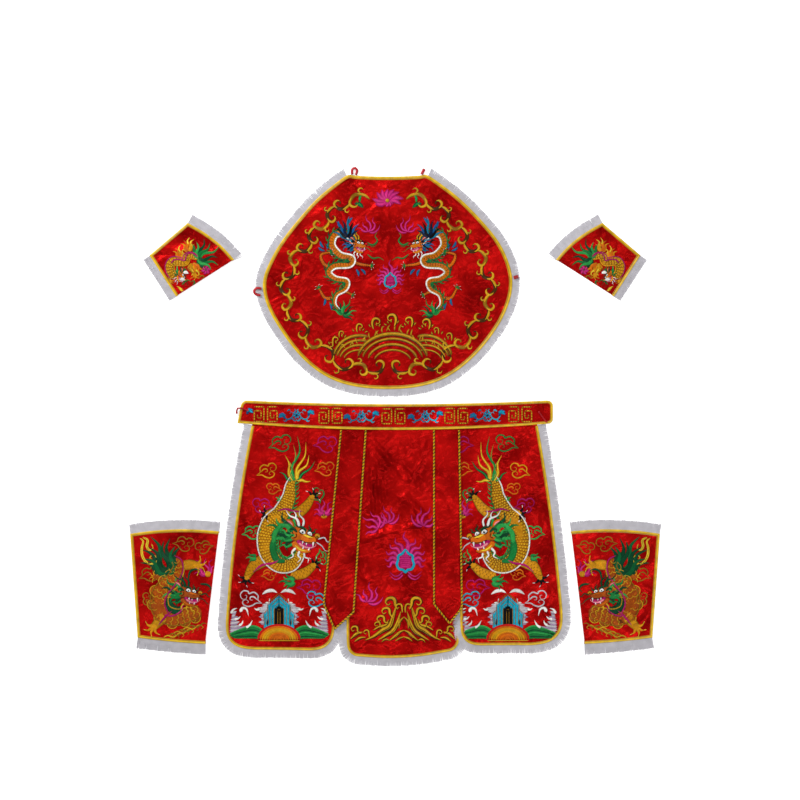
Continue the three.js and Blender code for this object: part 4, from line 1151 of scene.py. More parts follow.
def bib_work():
    """Both halves of the bib, the lotus, the pearl and the sea"""
    side = bib_side()
    work = side + reflected(side, BIB_AXIS)
    petals(work, -17.5, 539, LOTUS, 0, 13, "pink", "magenta")
    petals(work, -17.5, 539, (-35, 215, -70, 250), 16, 9, "pink", "magenta")
    dot(work, -19, 540, 5, "gold", 4)
    pearl(work, -11.5, 338, 1.35)
    x, y = -6, 136.5
    for wide, tall, half in ((88, 70, 5.2), (76, 58, 3.4), (62, 44, 3.4), (46, 30, 2.6)):
        arch(work, x, y, wide, tall, half, 12, 168)
    for side, first, last in ((-1, 72, 168), (1, 12, 108)):
        for wide, tall, half in ((66, 62, 4.4), (58, 50, 3.2), (50, 38, 3.0), (40, 26, 2.2)):
            arch(work, x + side * 82, y + 4, wide, tall, half, first, last)
    for top_x, top_y, tall, flip in BIB_CURLS:
        foam(work, top_x - 4 * flip, top_y - 0.9 * tall, top_x, top_y + 0.45 * tall, 0.8 * tall, flip)
        # Small gold leaves over umber, which is their painted shade
        for away, rise, turn in ((9, -12, 60), (14, -15, 25), (-11, -12, 120), (4, -10, 95)):
            leaf(work, top_x + away * flip, top_y + rise, 90 + (turn - 90) * flip, 10, 5, "gold", "umber", 2)
    # Gold leaves over brass, which is their painted shade
    for k in range(26):
        share = k / 25 - 0.5
        rise = 56 + 22 * math.exp(-(share / 0.2) ** 2) - 104 * share ** 2
        turn = 90 + 35 * math.sin(k * 2.2)
        leaf(work, x + 256 * share, y + rise, turn, 13 + 4 * (k % 3), 4.6, "gold", "brass")
    return work


WISP = [
    [(0, 0), (7, 6), (8, 16), (3, 24), (4, 34)], [(0, 0), (12, 3), (17, 11), (14, 18), (18, 26)],
    [(0, 0), (-1, 9), (-6, 14), (-5, 22)], [(0, 0), (-9, 4), (-13, 11), (-20, 13)],
    [(2, -2), (12, -4), (22, 1), (27, 9)],
]


def wisp(work, put, size):
    """Five tongues of pink flame side by side"""
    for row in WISP:
        shaded(work, put(row), np.array([1.2, 2.6, 2.3, 1.3, 0.1]) * size,
               np.array([0.5, 1.7, 1.5, 0.7, 0.1]) * size, "magenta", "pink")


FOAM_CURL = np.array([
    (-0.45, -0.9), (-0.35, -0.25), (0, 0), (0.5, -0.1), (0.72, -0.5), (0.45, -0.85), (0.12, -0.62),
])


def foam(work, x0, y0, x, y, size, flip):
    """A stem from a foot up to a curl in painted shade: gold shifted up and left over a wider umber stroke"""
    line = [(x0, y0), *(FOAM_CURL * (size * flip, size) + (x, y))]
    if y - y0 > 2 * size:
        line.insert(1, (x0 * 0.6 + (x - 0.5 * size * flip) * 0.4, (y0 + y) / 2))
    stroke(work, line, size * 0.27, "umber", 2, "hook", 2)
    stroke(work, np.add(line, (-size * 0.04, size * 0.05)), size * 0.17, "gold", 3, "hook", 2)


def arch(work, x, y, wide, tall, half, first, last):
    """A gold band over part of an ellipse with painted shade: brass under it, the gold shifted up, and a thin
    umber line of painted shadow below
    """
    angle = np.radians(np.linspace(first, last, 15))
    line = np.stack([x + wide * np.cos(angle), y + tall * np.sin(angle)], axis=1)
    stroke(work, line, half, "brass", 1, "even", 3)
    stroke(work, line + (0, half * 0.25), half * 0.55, "gold", 2, "leaf", 3)
    stroke(work, line + (0, -half * 0.95), half * 0.2, "umber", 2, "even", 3)


BAND_FRETS = (-323, -161, -4, 153, 313)
BAND_FLOWERS = (-246, -84, 76, 231)
FRET = np.array([(12, 19), (-12, 19), (-12, -18), (12, -18), (12, 9), (-5, 9), (-5, -9), (4, -9), (4, 0)])
FRET_STITCH = 6
BAND_SCROLL = [
    [(34, 2), (24, -10), (12, -6), (8, 4), (14, 8), (17, 3)], [(12, -6), (4, -14), (-2, -10)],
    [(22, -9), (28, -15), (34, -12)], [(8, 4), (2, 12), (6, 16)], [(24, 10), (18, 14), (15, 9)],
]


def band_y(x):
    """The middle line of the waistband"""
    return 0.2 + 8 * (x / 392) ** 2


def fret(work, put):
    """One square spiral in gold, with a dark stitch across it at even steps"""
    for a, b in zip(FRET, FRET[1:]):
        bands(work, put([a, b]), 1.5, "gold", 1, 4)
        length = math.dist(a, b)
        count = int(length // FRET_STITCH)
        half_stitch = (b - a) / length * 1.3
        for k in range(count):
            middle = a + (b - a) * (k + 0.5) / count
            stroke(work, put([middle - half_stitch, middle + half_stitch]), 1.5, "umber", 2, "even", 1.3)


def bud(work, put, side):
    """The petals at the outer end of a flower scroll, seen from one side"""
    for turn, reach in ((70, 11), (30, 12), (-10, 11), (110, 9)):
        leaf(work, 34, 4 * side, turn, reach, 8, "cyan" if side > 0 else "teal", "blue", 1, put)
    leaf(work, 34, 4 * side, 190, 8, 7, "blue", "navy", 1, put)


def waistband_work():
    """Key frets in gold between blue flower scrolls"""
    work = []
    for middle in BAND_FRETS:
        for side in (-1, 1):
            fret(work, set_in(middle + side * 16.5, band_y(middle), 0, 1, side))
    for x in BAND_FLOWERS:
        for side in (-1, 1):
            put = set_in(x, band_y(x), 0, 1, side)
            bud(work, put, side)
            for row in BAND_SCROLL:
                stroke(work, put(row), 1.9, "cyan" if side > 0 else "teal", 1, "hook", 2)
        petals(work, x, band_y(x), range(0, 360, 60), 10, 5, "cyan", "blue")
        dot(work, x, band_y(x), 2.6, "navy", 3)
    bud(work, set_in(-399, band_y(-369)), 1)
    return work


SKIRT_AXIS = -4.0
SKIRT_SPINE = [
    (-251, -145), (-261, -172), (-266, -203.5), (-285, -241), (-309, -266), (-321, -302), (-316, -341),
    (-292.5, -368.5), (-262.5, -372), (-242.5, -353.5), (-236, -331),
]
# Each cloud's middle, size, thread, turn and side
CLOUDS = [
    (-282.5, -68.5, 1.35, "green", 8, 1), (-170, -71, 1.35, "magenta", -6, 1),
    (-316, -137, 1.2, "amber", 10, 1), (-172.5, -132, 1.15, "orange", 0, 1),
    (-335, -223.5, 1.2, "magenta", 0, -1), (-190, -193.5, 0.9, "green", 90, 1),
    (-355, -291, 1.1, "leaf", 0, 1), (-185, -353.5, 0.9, "leaf", -90, 1), (-312.5, -396, 0.9, "orange", 0, 1),
    (-211, -428.5, 1.35, "magenta", -10, 1), (-200, -458.5, 1.25, "cyan", -12, -1),
    (-365, -457, 1.3, "silver", -8, -1), (-305, -181, 0.9, "orange", 0, -1),
]
# The tongues of the tail: thread, tip and how far it sways
TAIL = [
    ("green", (-244, -48.5), 26), ("amber", (-222.5, -63.5), 18), ("orange", (-254, -68.5), 16),
    ("amber", (-275, -96), 12), ("forest", (-200, -111), 10), ("gold", (-215, -96), 18),
    ("forest", (-289, -138.5), 8), ("gold", (-210, -161), 6), ("yellow", (-265, -111), 10),
]
TAIL_FOOT = (-251, -161)
SKIRT_WIDTHS = [7, 14, 19, 22, 24, 25, 24, 22, 19, 15, 11]
SKIRT_LIMBS = [
    ([(-264, -218.5), (-290, -235), (-319, -242)], [17, 13, 7], 15),
    ([(-247.5, -246), (-224, -226), (-206, -200)], [14, 12, 7], 15),
    ([(-319, -353.5), (-355, -376), (-371, -403.5)], [18, 14, 7], 16),
    ([(-261, -398.5), (-227.5, -391), (-202.5, -371)], [10, 13, 8], 15),
]
# Bands over the body: points, half width, thread, layer and shape
SKIRT_STRIPES = [
    ([(-295, -236), (-274, -231), (-250, -237), (-230, -236)], 3.0, "magenta", 3, "leaf"),
    ([(-356, -390), (-332.5, -371), (-305, -366), (-282.5, -353.5)], 3.0, "magenta", 3, "leaf"),
    ([(-300, -296), (-306, -326), (-296, -356), (-274, -362)], [3, 8, 9, 4], "green", 3),
    ([(-281, -266), (-300, -291), (-304, -316)], [3, 7, 5], "leaf", 4),
]


def skirt_side():
    """The left panel: a descending dragon among clouds, over the sea and a cliff"""
    work = []
    for x, y, size, thread, turn, flip in CLOUDS:
        cloud(work, x, y, size * 1.25, thread, turn, flip, 1.9)
    for k, (thread, tip, sway) in enumerate(TAIL):
        root = np.add(TAIL_FOOT, ((tip[0] - TAIL_FOOT[0]) * 0.18, 0))
        along = tip - root
        aside = left_of(unit(along)) * sway * 0.6
        line = [root, root + 0.3 * along + 0.6 * aside, root + 0.65 * along - 0.5 * aside, root + along]
        stroke(work, line, 5.0, thread, 1 + k % 2, "tail", 3)
        stroke(work, line, 1.8, "yellow" if k % 2 else "leaf", 3, "tail", 3)
    for points, widths, claw in SKIRT_LIMBS:
        limb(work, points, widths, SKIRT_LOOK, claw, 150, 7)
    serpent(work, SKIRT_SPINE, SKIRT_WIDTHS, SKIRT_LOOK, -1, 7.0, 11)
    for row in SKIRT_STRIPES:
        stroke(work, *row)
    plume(work, -252.5, -412, 5, 40, 12, ["green", "leaf"], 90, 182, 0.12, 2)
    plume(work, -347.5, -352, 3, 30, 10, ["green", "leaf"], 60, 182, 0.12, 2)
    plume(work, -285, -208.5, 3, 18, 8, ["green", "leaf"], 80, 150, 0.12, 2)
    head(work, -244, -298.5, -18, 1.42, SKIRT_LOOK, 9)
    ball = (-177.5, -244.5)
    dot(work, *ball, 10, "amber", 1)
    stroke(work, spiral(*ball, 7, 1.5), 1.2, "umber", 2)
    plume(work, ball[0], ball[1] + 4, 7, 38, 8, ["magenta", "pink"], 200, 92, 0.16, 1)
    sea_and_cliff(work, -290, -558.5)
    return work


# One side of the cliff's outlines, and the white crests of the waves with their half widths
CLIFF_LINES = [
    [(0, 117), (28, 92), (26, 38)], [(0, 105), (20, 86), (19, 38)], [(0, 93), (12, 83), (12, 38)],
    [(28, 76), (39, 66), (36, 36)], [(28, 63), (33, 58), (31, 36)], [(3, 38), (3, 74), (0, 79)],
]
SEA_BUDS = [
    ([(97, 70), (91, 80), (81, 77), (76, 60)], 4.6), ([(84, 30), (74, 36), (66, 50)], 4.4),
    ([(100, 36), (92, 42), (90, 50)], 3.8), ([(112, 52), (102, 54), (96, 60)], 4.2),
    ([(120, 66), (114, 76), (104, 80)], 4.2), ([(48, 78), (56, 76), (62, 80)], 4.0),
]
# How far apart the stripes of the sea and the cliff lie, and their half width
STRIPE = 4.4
STRIPE_HALF = 2.7
# Threads of the sun's rings, the outer ones first, and of the hills
SUN_THREADS = ["red", "orange", "amber", "gold", "amber", *["orange"] * 4]
HILL_THREADS = ["leaf", "green", "green", "forest", "green"]


def sea_side(work, put):
    """The hills, waves, crests and cliff on one side of the sun"""
    for k in range(10):
        top = 38 - 3.7 * k
        hill = [(30 + 2 * k, 2 + 0.4 * top), (62, 2 + 0.86 * top), (95, 3 + 0.62 * top),
                (126 - k, 6 + 0.2 * top)]
        stroke(work, put(hill), 2.5, HILL_THREADS[k % 5], 2, "even", 4)
    for k in range(12):
        low = 20 + STRIPE * k
        inside = 96 - 30 * max(0, 1 - k / 4) + 1.1 * k + 3 * math.sin(2.2 * k)
        outside = 124 - 0.06 * k * k
        line = [(inside, low + 4), (0.5 * (inside + outside), low + 1), (outside, low)]
        stroke(work, put(line), STRIPE_HALF, "silver" if k % 2 else "lilac", 1, "even", 5)
    for points, half in SEA_BUDS:
        stroke(work, put(points), half, "white", 2, "tail", 3)
    for k in range(8):
        line = [(27, 40 + STRIPE * k), (47 + 4 * math.sin(k * 1.9), 40.5 + STRIPE * k)]
        stroke(work, put(line), STRIPE_HALF, "silver" if k % 2 else "lilac", 1, "even", 5)
    for k in range(7):
        line = [(22, 75 + STRIPE * k), (58 - 6 * k + 3 * math.sin(k * 2.3), 76 + STRIPE * k)]
        stroke(work, put(line), STRIPE_HALF, "white" if k > 3 else "silver", 1, "leaf", 5)
    stroke(work, put([(4, 118), (16, 124), (30, 122), (42, 114)]), 4.5, "white", 1, "leaf", 3)
    for k in range(9):
        away = STRIPE * k
        top = 114 - 0.9 * away if away < 27 else 76 - 0.8 * (away - 27)
        bands(work, put([(away, 10), (away, top)]), STRIPE_HALF, "cyan", 2, 6)
        if away < 10:
            bands(work, put([(away, 10), (away, 90 - 0.8 * away)]), 2.6, "black", 3, 6)
    for points in CLIFF_LINES:
        bands(work, put(points), 0.9, "brass", 4, 6)
    bands(work, put([(28, 54), (29, 34)]), 2.0, "navy", 3, 6)


def sea_and_cliff(work, x, y):
    """A stepped cliff and a half sun over striped waves and green hills"""
    for side in (-1, 1):
        sea_side(work, set_in(x, y, 0, 1, side))
    put = set_in(x, y)
    angle = np.radians(np.linspace(0, 180, 13))
    rays = np.stack([np.cos(angle), 0.72 * np.sin(angle)], axis=1)
    for k, thread in enumerate(SUN_THREADS):
        stroke(work, put(rays * (52 - 5.6 * k)), 3.0, thread, 4, "even", 4)
    bands(work, put([(-52, -1), (52, -1)]), 1.4, "gold", 4, 5)


# A breaking wave, one side of it: the arms with their half widths, and the crests
SPLASH_ARMS = [
    ([(98, 1), (76, 11), (54, 26), (36, 37), (27, 62), (17, 94)], 6.8),
    ([(66, 1), (46, 13), (28, 25), (17, 44), (8, 74)], 6.2), ([(38, 0), (23, 11), (10, 22), (-2, 27)], 4.8),
    ([(22, -1), (12, 6), (-2, 11)], 3.4), ([(12, 29), (11, 47), (-1, 61)], 3.8),
    ([(78, 26), (60, 36), (45, 40), (38, 54)], 4.2), ([(134, 4), (119, 17), (103, 22)], 5.0),
    ([(124, -2), (110, 7), (95, 9)], 4.0), ([(56, -3), (47, 4), (36, 2)], 3.2),
]
SPLASH_CRESTS = [
    (15, 78, 30, 107, 21), (26, 56, 42, 82, 17), (38, 44, 55, 62, 16), (50, 34, 64, 47, 12),
    (4, 70, 10, 92, 13), (106, 18, 121, 36, 14), (86, 8, 92, 27, 11),
]
# Flames over the splash: root, size, turn and side
CENTRE_FLAMES = [
    (-42.5, -280, 1.5, 60, 1), (-19, -266, 1.3, 20, 1), (72.5, -273.5, 1.5, -25, -1),
    (-70, -463.5, 1.5, 0, 1),
]


def splash_work():
    """The centre panel: flames, a pearl and a gold breaking wave"""
    work = []
    for x, y, size, turn, flip in CENTRE_FLAMES:
        wisp(work, set_in(x, y, turn, size, flip), size)
    pearl(work, 26, -363.5, 1.95)
    foot = np.array((22.5, -561))
    for side, wide in ((-1, 1.0), (1, 0.95)):
        for line, half in SPLASH_ARMS:
            line = np.array(line) * (side * wide, 1) + foot
            # Painted shade: umber under each arm, the gold shifted up over it, and a thin umber line below
            stroke(work, line, half, "umber", 1, "leaf", 3)
            stroke(work, line + (0, 0.16 * half), half * 0.7, "gold", 2, "leaf", 3)
            stroke(work, line - (0, 0.22 * half), half * 0.15, "umber", 3, "leaf", 4)
        for x0, y0, x, y, size in SPLASH_CRESTS:
            x0, x = foot[0] + side * wide * x0, foot[0] + side * wide * x
            foam(work, x0, foot[1] + y0, x, foot[1] + y, size, side)
    return work


GUARD_SPINE = [
    (-547.9, -353.3), (-540.8, -378.3), (-555, -409.5), (-580, -433.7), (-589.2, -461.6), (-579.2, -489.5),
    (-549.2, -501.2), (-516.7, -494.9), (-484.1, -484.5),
]
GUARD_WIDTHS = [10, 16, 20, 22, 24, 24, 22, 19, 14]
GUARD_RIBBONS = [
    [(-638.3, -303.3), (-629.2, -311.6), (-632.5, -328.3), (-630.8, -349.1), (-618.7, -365.8),
     (-600.8, -367), (-593.7, -355.3), (-603.3, -346.2), (-612.5, -352), (-606.2, -358.7)],
    [(-630.8, -301.2), (-618.3, -308.7), (-620, -324.1), (-613.3, -333.7), (-605, -328.3), (-608.3, -317.8)],
]
# Clouds: middle, size, turn and side
GUARD_CLOUDS = [
    (-525, -319.9, 1.5, -14, 1), (-479.1, -328.3, 1.3, 20, -1), (-610.4, -394.9, 1.5, 10, 1),
    (-615.8, -455.4, 1.1, 90, 1),
]
GUARD_WAVE = [
    (-594.7, -560.9), (-580.7, -551.9), (-564.7, -555.9), (-550.7, -545.9), (-538.7, -550.9),
    (-544.7, -555.9),
]
# Legs: points, half widths, thread, length and spread of the claws, size of the scales
GUARD_LIMBS = [
    ([(-575, -417.8), (-587.5, -403.3), (-600, -400.3)], [12, 9, 6], "rust", 10, 140, 9),
    ([(-529.2, -372), (-510.4, -369.9), (-493.7, -372)], [12, 13, 9], "amber", 17, 150, 10),
    ([(-575, -494.9), (-591.7, -513.7), (-603.3, -526.2)], [15, 13, 9], "amber", 17, 150, 10),
]
GUARD_STRIPES = [
    ([(-552.1, -346.2), (-532.5, -359.5), (-530.8, -389.5), (-550.8, -422), (-568.7, -444.9),
      (-575, -467.9), (-565.8, -492.9)], 1.8, "magenta", 4),
    ([(-529.2, -465.8), (-535.4, -486.6), (-557.5, -497.9), (-575, -494.9)], 1.8, "magenta", 4),
    ([(-556.2, -484.5), (-572.9, -499.1), (-591.7, -522)], 2.6, "magenta", 4, "leaf"),
    ([(-565.8, -451.2), (-560.4, -476.2), (-541.7, -484.5), (-532.5, -474.1)], [5, 11, 11, 5], "forest", 3),
]
GUARD_WHISKERS = [
    ([(-516.7, -409.5), (-512.5, -388.7), (-500, -381.2), (-487.5, -385.3), (-492.5, -393.7)],
     2.6, "forest", 4, "hook"),
    ([(-487.5, -417.8), (-468.7, -419.9), (-460.4, -430.3), (-468.7, -438.7)], 2.6, "forest", 4, "hook"),
]


def guard_work():
    """The left leg guard: a coiled dragon with a green tail, clouds and waves"""
    work = []
    plume(work, -565.8, -394.9, 9, 106, 21, ["forest", "pine", "forest"], 84, 112, 0.1)
    for points in GUARD_RIBBONS:
        shaded(work, points, 3.4, 0.8, "yellow", "umber", "hook")
    for x, y, size, turn, flip in GUARD_CLOUDS:
        cloud(work, x, y, size, "brass", turn, flip, 1.6)
    for k in range(7):
        line = np.add(GUARD_WAVE, (12 * k, 5 * k))
        stroke(work, line, 1.9, "gold" if k % 2 else "brass", 1, "hook")
    line, half = serpent(work, GUARD_SPINE, GUARD_WIDTHS, GUARD_LOOK, 1, 13, 0)
    scallops(work, line, half, -1, 8, GUARD_LOOK)
    for points, widths, body, claw, spread, scale in GUARD_LIMBS:
        limb(work, points, widths, {**GUARD_LOOK, "body": body}, claw, spread, scale)
    for row in GUARD_STRIPES:
        stroke(work, *row)
    head(work, -525.8, -442.9, -14, 1.12, GUARD_LOOK, 7)
    for row in GUARD_WHISKERS:
        stroke(work, *row)
    ball = (-467.5, -392.8)
    dot(work, *ball, 8, "amber", 3)
    plume(work, ball[0] - 2, ball[1], 6, 48, 7, ["magenta", "pink"], 130, 112, 0.16, 1)
    return work


CUFF_SPINE = [
    (-491.2, 394), (-506.2, 402.4), (-519.4, 400.2), (-524.4, 386.8), (-539.1, 387.8), (-554.7, 388.4),
    (-563.1, 375.9), (-559.4, 358.7), (-549.4, 346.2),
]
# Flames: root, the angle they rise at and their length
CUFF_FLAMES = [
    (-516.2, 413.4, 100, 38), (-515.6, 414.9, 80, 34), (-535.9, 396.2, 105, 36), (-534.4, 394.6, 85, 30),
    (-506.2, 382.1, -80, 34), (-500, 379, -60, 34),
]
CUFF_CURLS = [
    [(-532.8, 329), (-525, 336.8), (-515.6, 341.5), (-509.4, 335.2)],
    [(-506.2, 329), (-500, 335.2), (-504.7, 339.9), (-508.8, 334.6)],
    [(-492.2, 344.6), (-482.8, 352.4), (-476.6, 347.8), (-484.4, 343.1)],
]
CUFF_STRIPE = [
    (-559.4, 382.1), (-552.5, 391.5), (-537.5, 392.8), (-525, 389.9), (-520.3, 404), (-506.2, 408.7),
    (-492.2, 397.8),
]


def cuff_work():
    """The left cuff: a small dragon with a green tail and a flower"""
    work = []
    plume(work, -492.2, 394, 9, 62, 12, ["green", "leaf", "forest"], 170, 28, 0.1)
    for x, y, turn, reach in CUFF_FLAMES:
        plume(work, x, y, 4, reach, 9, ["amber", "orange", "yellow"], 60, turn, 0.16)
    serpent(work, CUFF_SPINE, [5, 8, 9, 10, 11, 12, 12, 11, 9], CUFF_LOOK, 1, 5.5, 0)
    limb(work, [(-554.7, 360.2), (-563.1, 349.3), (-560.9, 339.9)], [7, 5, 3], CUFF_LOOK, 8, 130, 5)
    limb(work, [(-515.6, 379), (-504.7, 364.9), (-500, 354)], [8, 7, 5], CUFF_LOOK, 9, 130, 5)
    stroke(work, CUFF_STRIPE, 1.6, "magenta", 4)
    head(work, -535.9, 354, -62, 0.52, CUFF_LOOK, 5)
    for points in CUFF_CURLS:
        stroke(work, points, 1.8, "green" if points[0][0] < -500 else "brass", 2, "hook")
    petals(work, -472.5, 366.5, range(0, 360, 60), 12, 8, "pink", "magenta")
    for at in ((-529.7, 358.7), (-538.1, 341.5)):
        stroke(work, [at, (at[0] + 7, at[1] + 2), (at[0] + 14, at[1] - 1)], 4.2, "white", 6, "leaf")
    for k in range(3):
        x, y = 3 * k - 545.3, 325.9 - 4 * k
        stroke(work, [(x, y), (x + 14, y - 7)], 1.5, "yellow", 1, "leaf")
    return work


class CostumeEmbroidery(bpy.types.Operator):
    """Embroiders the bib, the waistband, the skirt, the leg guards and the cuffs"""

    bl_idname = "costume.embroidery"
    bl_label = "Embroidery"

    def execute(self, context):
        embroidery_piece("bib_embroidery", bib_work(), "bib_cloth", 1)
        embroidery_piece("waistband_embroidery", waistband_work(), "waistband_cloth", 2)
        side = skirt_side()
        embroidery_piece("skirt_embroidery_left", side, "skirt_cloth_left", 3)
        embroidery_piece("skirt_embroidery_right", reflected(side, SKIRT_AXIS), "skirt_cloth_right", 4)
        embroidery_piece("skirt_embroidery_centre", splash_work(), "skirt_cloth_centre", 5)
        for kind, work in (("guard", guard_work()), ("cuff", cuff_work())):
            embroidery_piece(f"{kind}_embroidery_left", work, f"{kind}_cloth_left", 6)
            embroidery_piece(f"{kind}_embroidery_right", reflected(work, 0), f"{kind}_cloth_right", 7)
        return {"FINISHED"}


# Cloths: each crease is x0, y0, x1, y1, width, height, and the word sharp where its ridge is sharp
BIB_CREASES = [
    (-19, 90, -19, 590, 5, 3.4, "sharp"), (-325, 342, -60, 339, 6, 2.5, "sharp"),
    (-60, 339, 290, 343, 5, 2.2, "sharp"), (-180, 500, -60, 470, 14, 2.8), (40, 560, 150, 470, 12, 3.1),
    (150, 300, 270, 240, 11, 3.4), (-280, 270, -170, 190, 12, 3.1), (-60, 150, 60, 190, 10, 2.2),
    (60, 440, 190, 400, 9, 2.8), (-250, 420, -150, 380, 10, 2.2), (-110, 560, -40, 590, 10, 2.0),
    (120, 180, 180, 120, 9, 2.5), (-150, 130, -90, 110, 9, 2.1), (190, 350, 280, 300, 8, 2.0),
]
CENTRE_CREASES = [
    (-62, -70, -48, -330, 4.5, 5.6), (-46, -90, -30, -300, 4, 4.8), (-28, -110, -20, -250, 5, 3.6),
    (-65, -45, 30, -165, 6, 5.9), (30, -165, 75, -100, 6, 5.6), (10, -120, 60, -180, 8, 4.5),
    (-85, -310, 85, -255, 8, 9.1), (-80, -330, 20, -296, 4, 4.2, "sharp"), (75, -60, 60, -130, 5, 3.9),
    (40, -50, 30, -110, 5, 3.4), (5, -45, 12, -100, 4, 3.1), (-90, -60, -84, -130, 5, 3.4),
    (20, -190, 70, -250, 10, 4.8), (-50, -360, -80, -470, 9, 3.9), (70, -300, 86, -420, 8, 4.2),
    (-20, -390, 60, -370, 8, 2.5), (0, -460, 70, -430, 7, 2.8), (-80, -560, 120, -548, 8, 3.1),
    (-10, -230, 30, -200, 12, 4.2), (90, -140, 70, -200, 6, 3.9),
]
SIDE_CREASES = [
    (330, -60, 290, -190, 9, 3.0), (250, -80, 200, -170, 10, 2.7), (390, -210, 350, -330, 9, 3.3),
    (230, -210, 180, -330, 10, 3.0), (400, -380, 380, -500, 9, 3.3), (300, -430, 220, -470, 9, 2.4),
    (330, -250, 250, -300, 10, 2.4), (210, -400, 190, -500, 8, 2.4), (345, -45, 240, -60, 6, 2.4),
    (400, -130, 330, -160, 7, 2.4),
]


def mirrored(rows):
    """The same creases on the other side of x = 0"""
    return [(-x0, y0, -x1, y1, *rest) for x0, y0, x1, y1, *rest in rows]


def turned_rows(rows, centre, heading):
    """Creases given along and across a piece that lies at an angle"""
    put = set_in(*centre, heading)
    return [(*put((x0, y0))[0], *put((x1, y1))[0], *rest) for x0, y0, x1, y1, *rest in rows]


GUARD_CREASES = [
    (-60, 90, 40, 60, 9, 1.8), (60, 100, 70, -30, 9, 2.0), (-70, -20, -20, -90, 9, 1.8),
    (0, 30, 60, -60, 8, 1.4), (-20, 120, 20, 90, 7, 1.6),
]
CUFF_CREASES = [(-40, 30, 30, 10, 8, 1.5), (20, 50, 40, -30, 7, 1.5), (-30, -20, 10, -50, 7, 1.3)]
GUARD_CENTRE = (-551, -436)
GUARD_TURN = 5
CUFF_CENTRE = (-518, 401)
CUFF_TURN = 32
BAND_CREASES = [(-140, 30, -128, -10, 7, 1.6), (140, 30, 150, -10, 7, 1.6), (-300, 10, -200, 0, 9, 0.8)]


class CostumeCloth(bpy.types.Operator):
    """Lays out the satin cloths with their creases"""

    bl_idname = "costume.cloth"
    bl_label = "Satin cloths"

    def execute(self, context):
        cloth_piece("bib_cloth", "bib_panel", BIB_CREASES, (95, 0.9, 3))
        cloth_piece("waistband_cloth", "waistband", BAND_CREASES, (70, 0.4, 4), (5, 14))
        cloth_piece("skirt_cloth_centre", "skirt_panel_centre", CENTRE_CREASES, (60, 1.5, 8))
        cloth_piece("skirt_cloth_left", "skirt_panel_left", mirrored(SIDE_CREASES), (85, 1.1, 6))
        cloth_piece("skirt_cloth_right", "skirt_panel_right", SIDE_CREASES, (85, 1.1, 7))
        for side, sign in (("left", 1), ("right", -1)):
            guard = turned_rows(GUARD_CREASES, GUARD_CENTRE, GUARD_TURN)
            cuff = turned_rows(CUFF_CREASES, CUFF_CENTRE, CUFF_TURN)
            if side == "right":
                guard, cuff = mirrored(guard), mirrored(cuff)
            cloth_piece(f"guard_cloth_{side}", f"leg_guard_{side}_panel", guard, (60, 0.7, 9))
            cloth_piece(f"cuff_cloth_{side}", f"cuff_{side}_panel", cuff, (50, 0.5, 12))
            cloth_piece(f"ribbon_cloth_{side}", f"ribbon_{side}",
                        [(sign * -150, -200, sign * -95, -230, 8, 1.2),
                         (sign * -155, -330, sign * -105, -310, 7, 1.0)], (60, 0.6, 14), (2, 12))
        return {"FINISHED"}


# The width of each kind's tape, and how far it goes down outside the rim
TAPE = {
    "bib": (7.4, 1.3), "waistband": (5.5, 1.4), "skirt": (6.0, 1.2), "guard": (6.4, 0.4), "cuff": (6.2, 0.4),
}
# The side panels' outer edges lie beyond this x
SIDE_EDGE = 270
# Where the tape and the fringe start: at the outer edges, and between two panels
OUTER_TOP = -21
INNER_TOP = -36


def off_top(x, y):
    """Whether a point of a panel's edge lies below the waistband"""
    return y < (OUTER_TOP if abs(x) > SIDE_EDGE else INNER_TOP)


def sew_tape(kind, place, source):
    """The tape round one cloth, which stops below the waistband on a panel of the skirt"""
    chain = chains[f"{kind}_cloth{place}"]
    if kind == "skirt":
        chain = part_of(chain, off_top)
    swept_piece(f"{kind}_tape{place}", chain, tape_profile(*TAPE[kind]), [source])


class CostumeBinding(bpy.types.Operator):
    """Sews the two-toned tape along the edges of the cloths"""

    bl_idname = "costume.binding"
    bl_label = "Binding tape"

    def execute(self, context):
        sew_tape("bib", "", "bib_binding")
        sew_tape("waistband", "", "waistband_binding")
        for panel in ("left", "centre", "right"):
            sew_tape("skirt", f"_{panel}", f"skirt_binding_{panel}")
        for side in ("left", "right"):
            sew_tape("guard", f"_{side}", f"leg_guard_{side}_binding")
            sew_tape("cuff", f"_{side}", f"cuff_{side}_binding")
        return {"FINISHED"}


# Where the fringe between two panels starts, and the bib's neck edge, which has none
INNER_FRINGE_TOP = -441
NECK_EDGE = {"x": -19, "half": 99, "y": 592}
# A bend in a folded piece's edge that counts as a corner
CORNER = 0.7


def folded_ends(chain):
    """The low and the high end of a folded piece's edge, without the long side between them"""
    points = chain["points"][:, :2]
    ahead = np.diff(points, axis=0)
    heading = np.unwrap(np.arctan2(ahead[:, 1], ahead[:, 0]))
    bends = [k + 1 for k in range(len(heading) - 1) if abs(heading[k + 1] - heading[k]) > CORNER]
    ends = []
    for part in (slice(0, bends[0] + 1), slice(bends[-1], None)):
        outward = chain["steps"][part]
        flat = -left_of(unit(np.diff(points[part], axis=0)))
        flat = np.r_[flat, flat[-1:]]
        steps = flat * np.sign(np.sum(flat * outward, axis=1))[:, None]
        ends.append({"points": chain["points"][part], "steps": steps, "closed": False})
    return sorted(ends, key=lambda end: end["points"][:, 1].mean())


def off_neck(x, y):
    """Whether a point of the bib's edge lies off its neck edge"""
    return not (y > NECK_EDGE["y"] and abs(x - NECK_EDGE["x"]) < NECK_EDGE["half"])


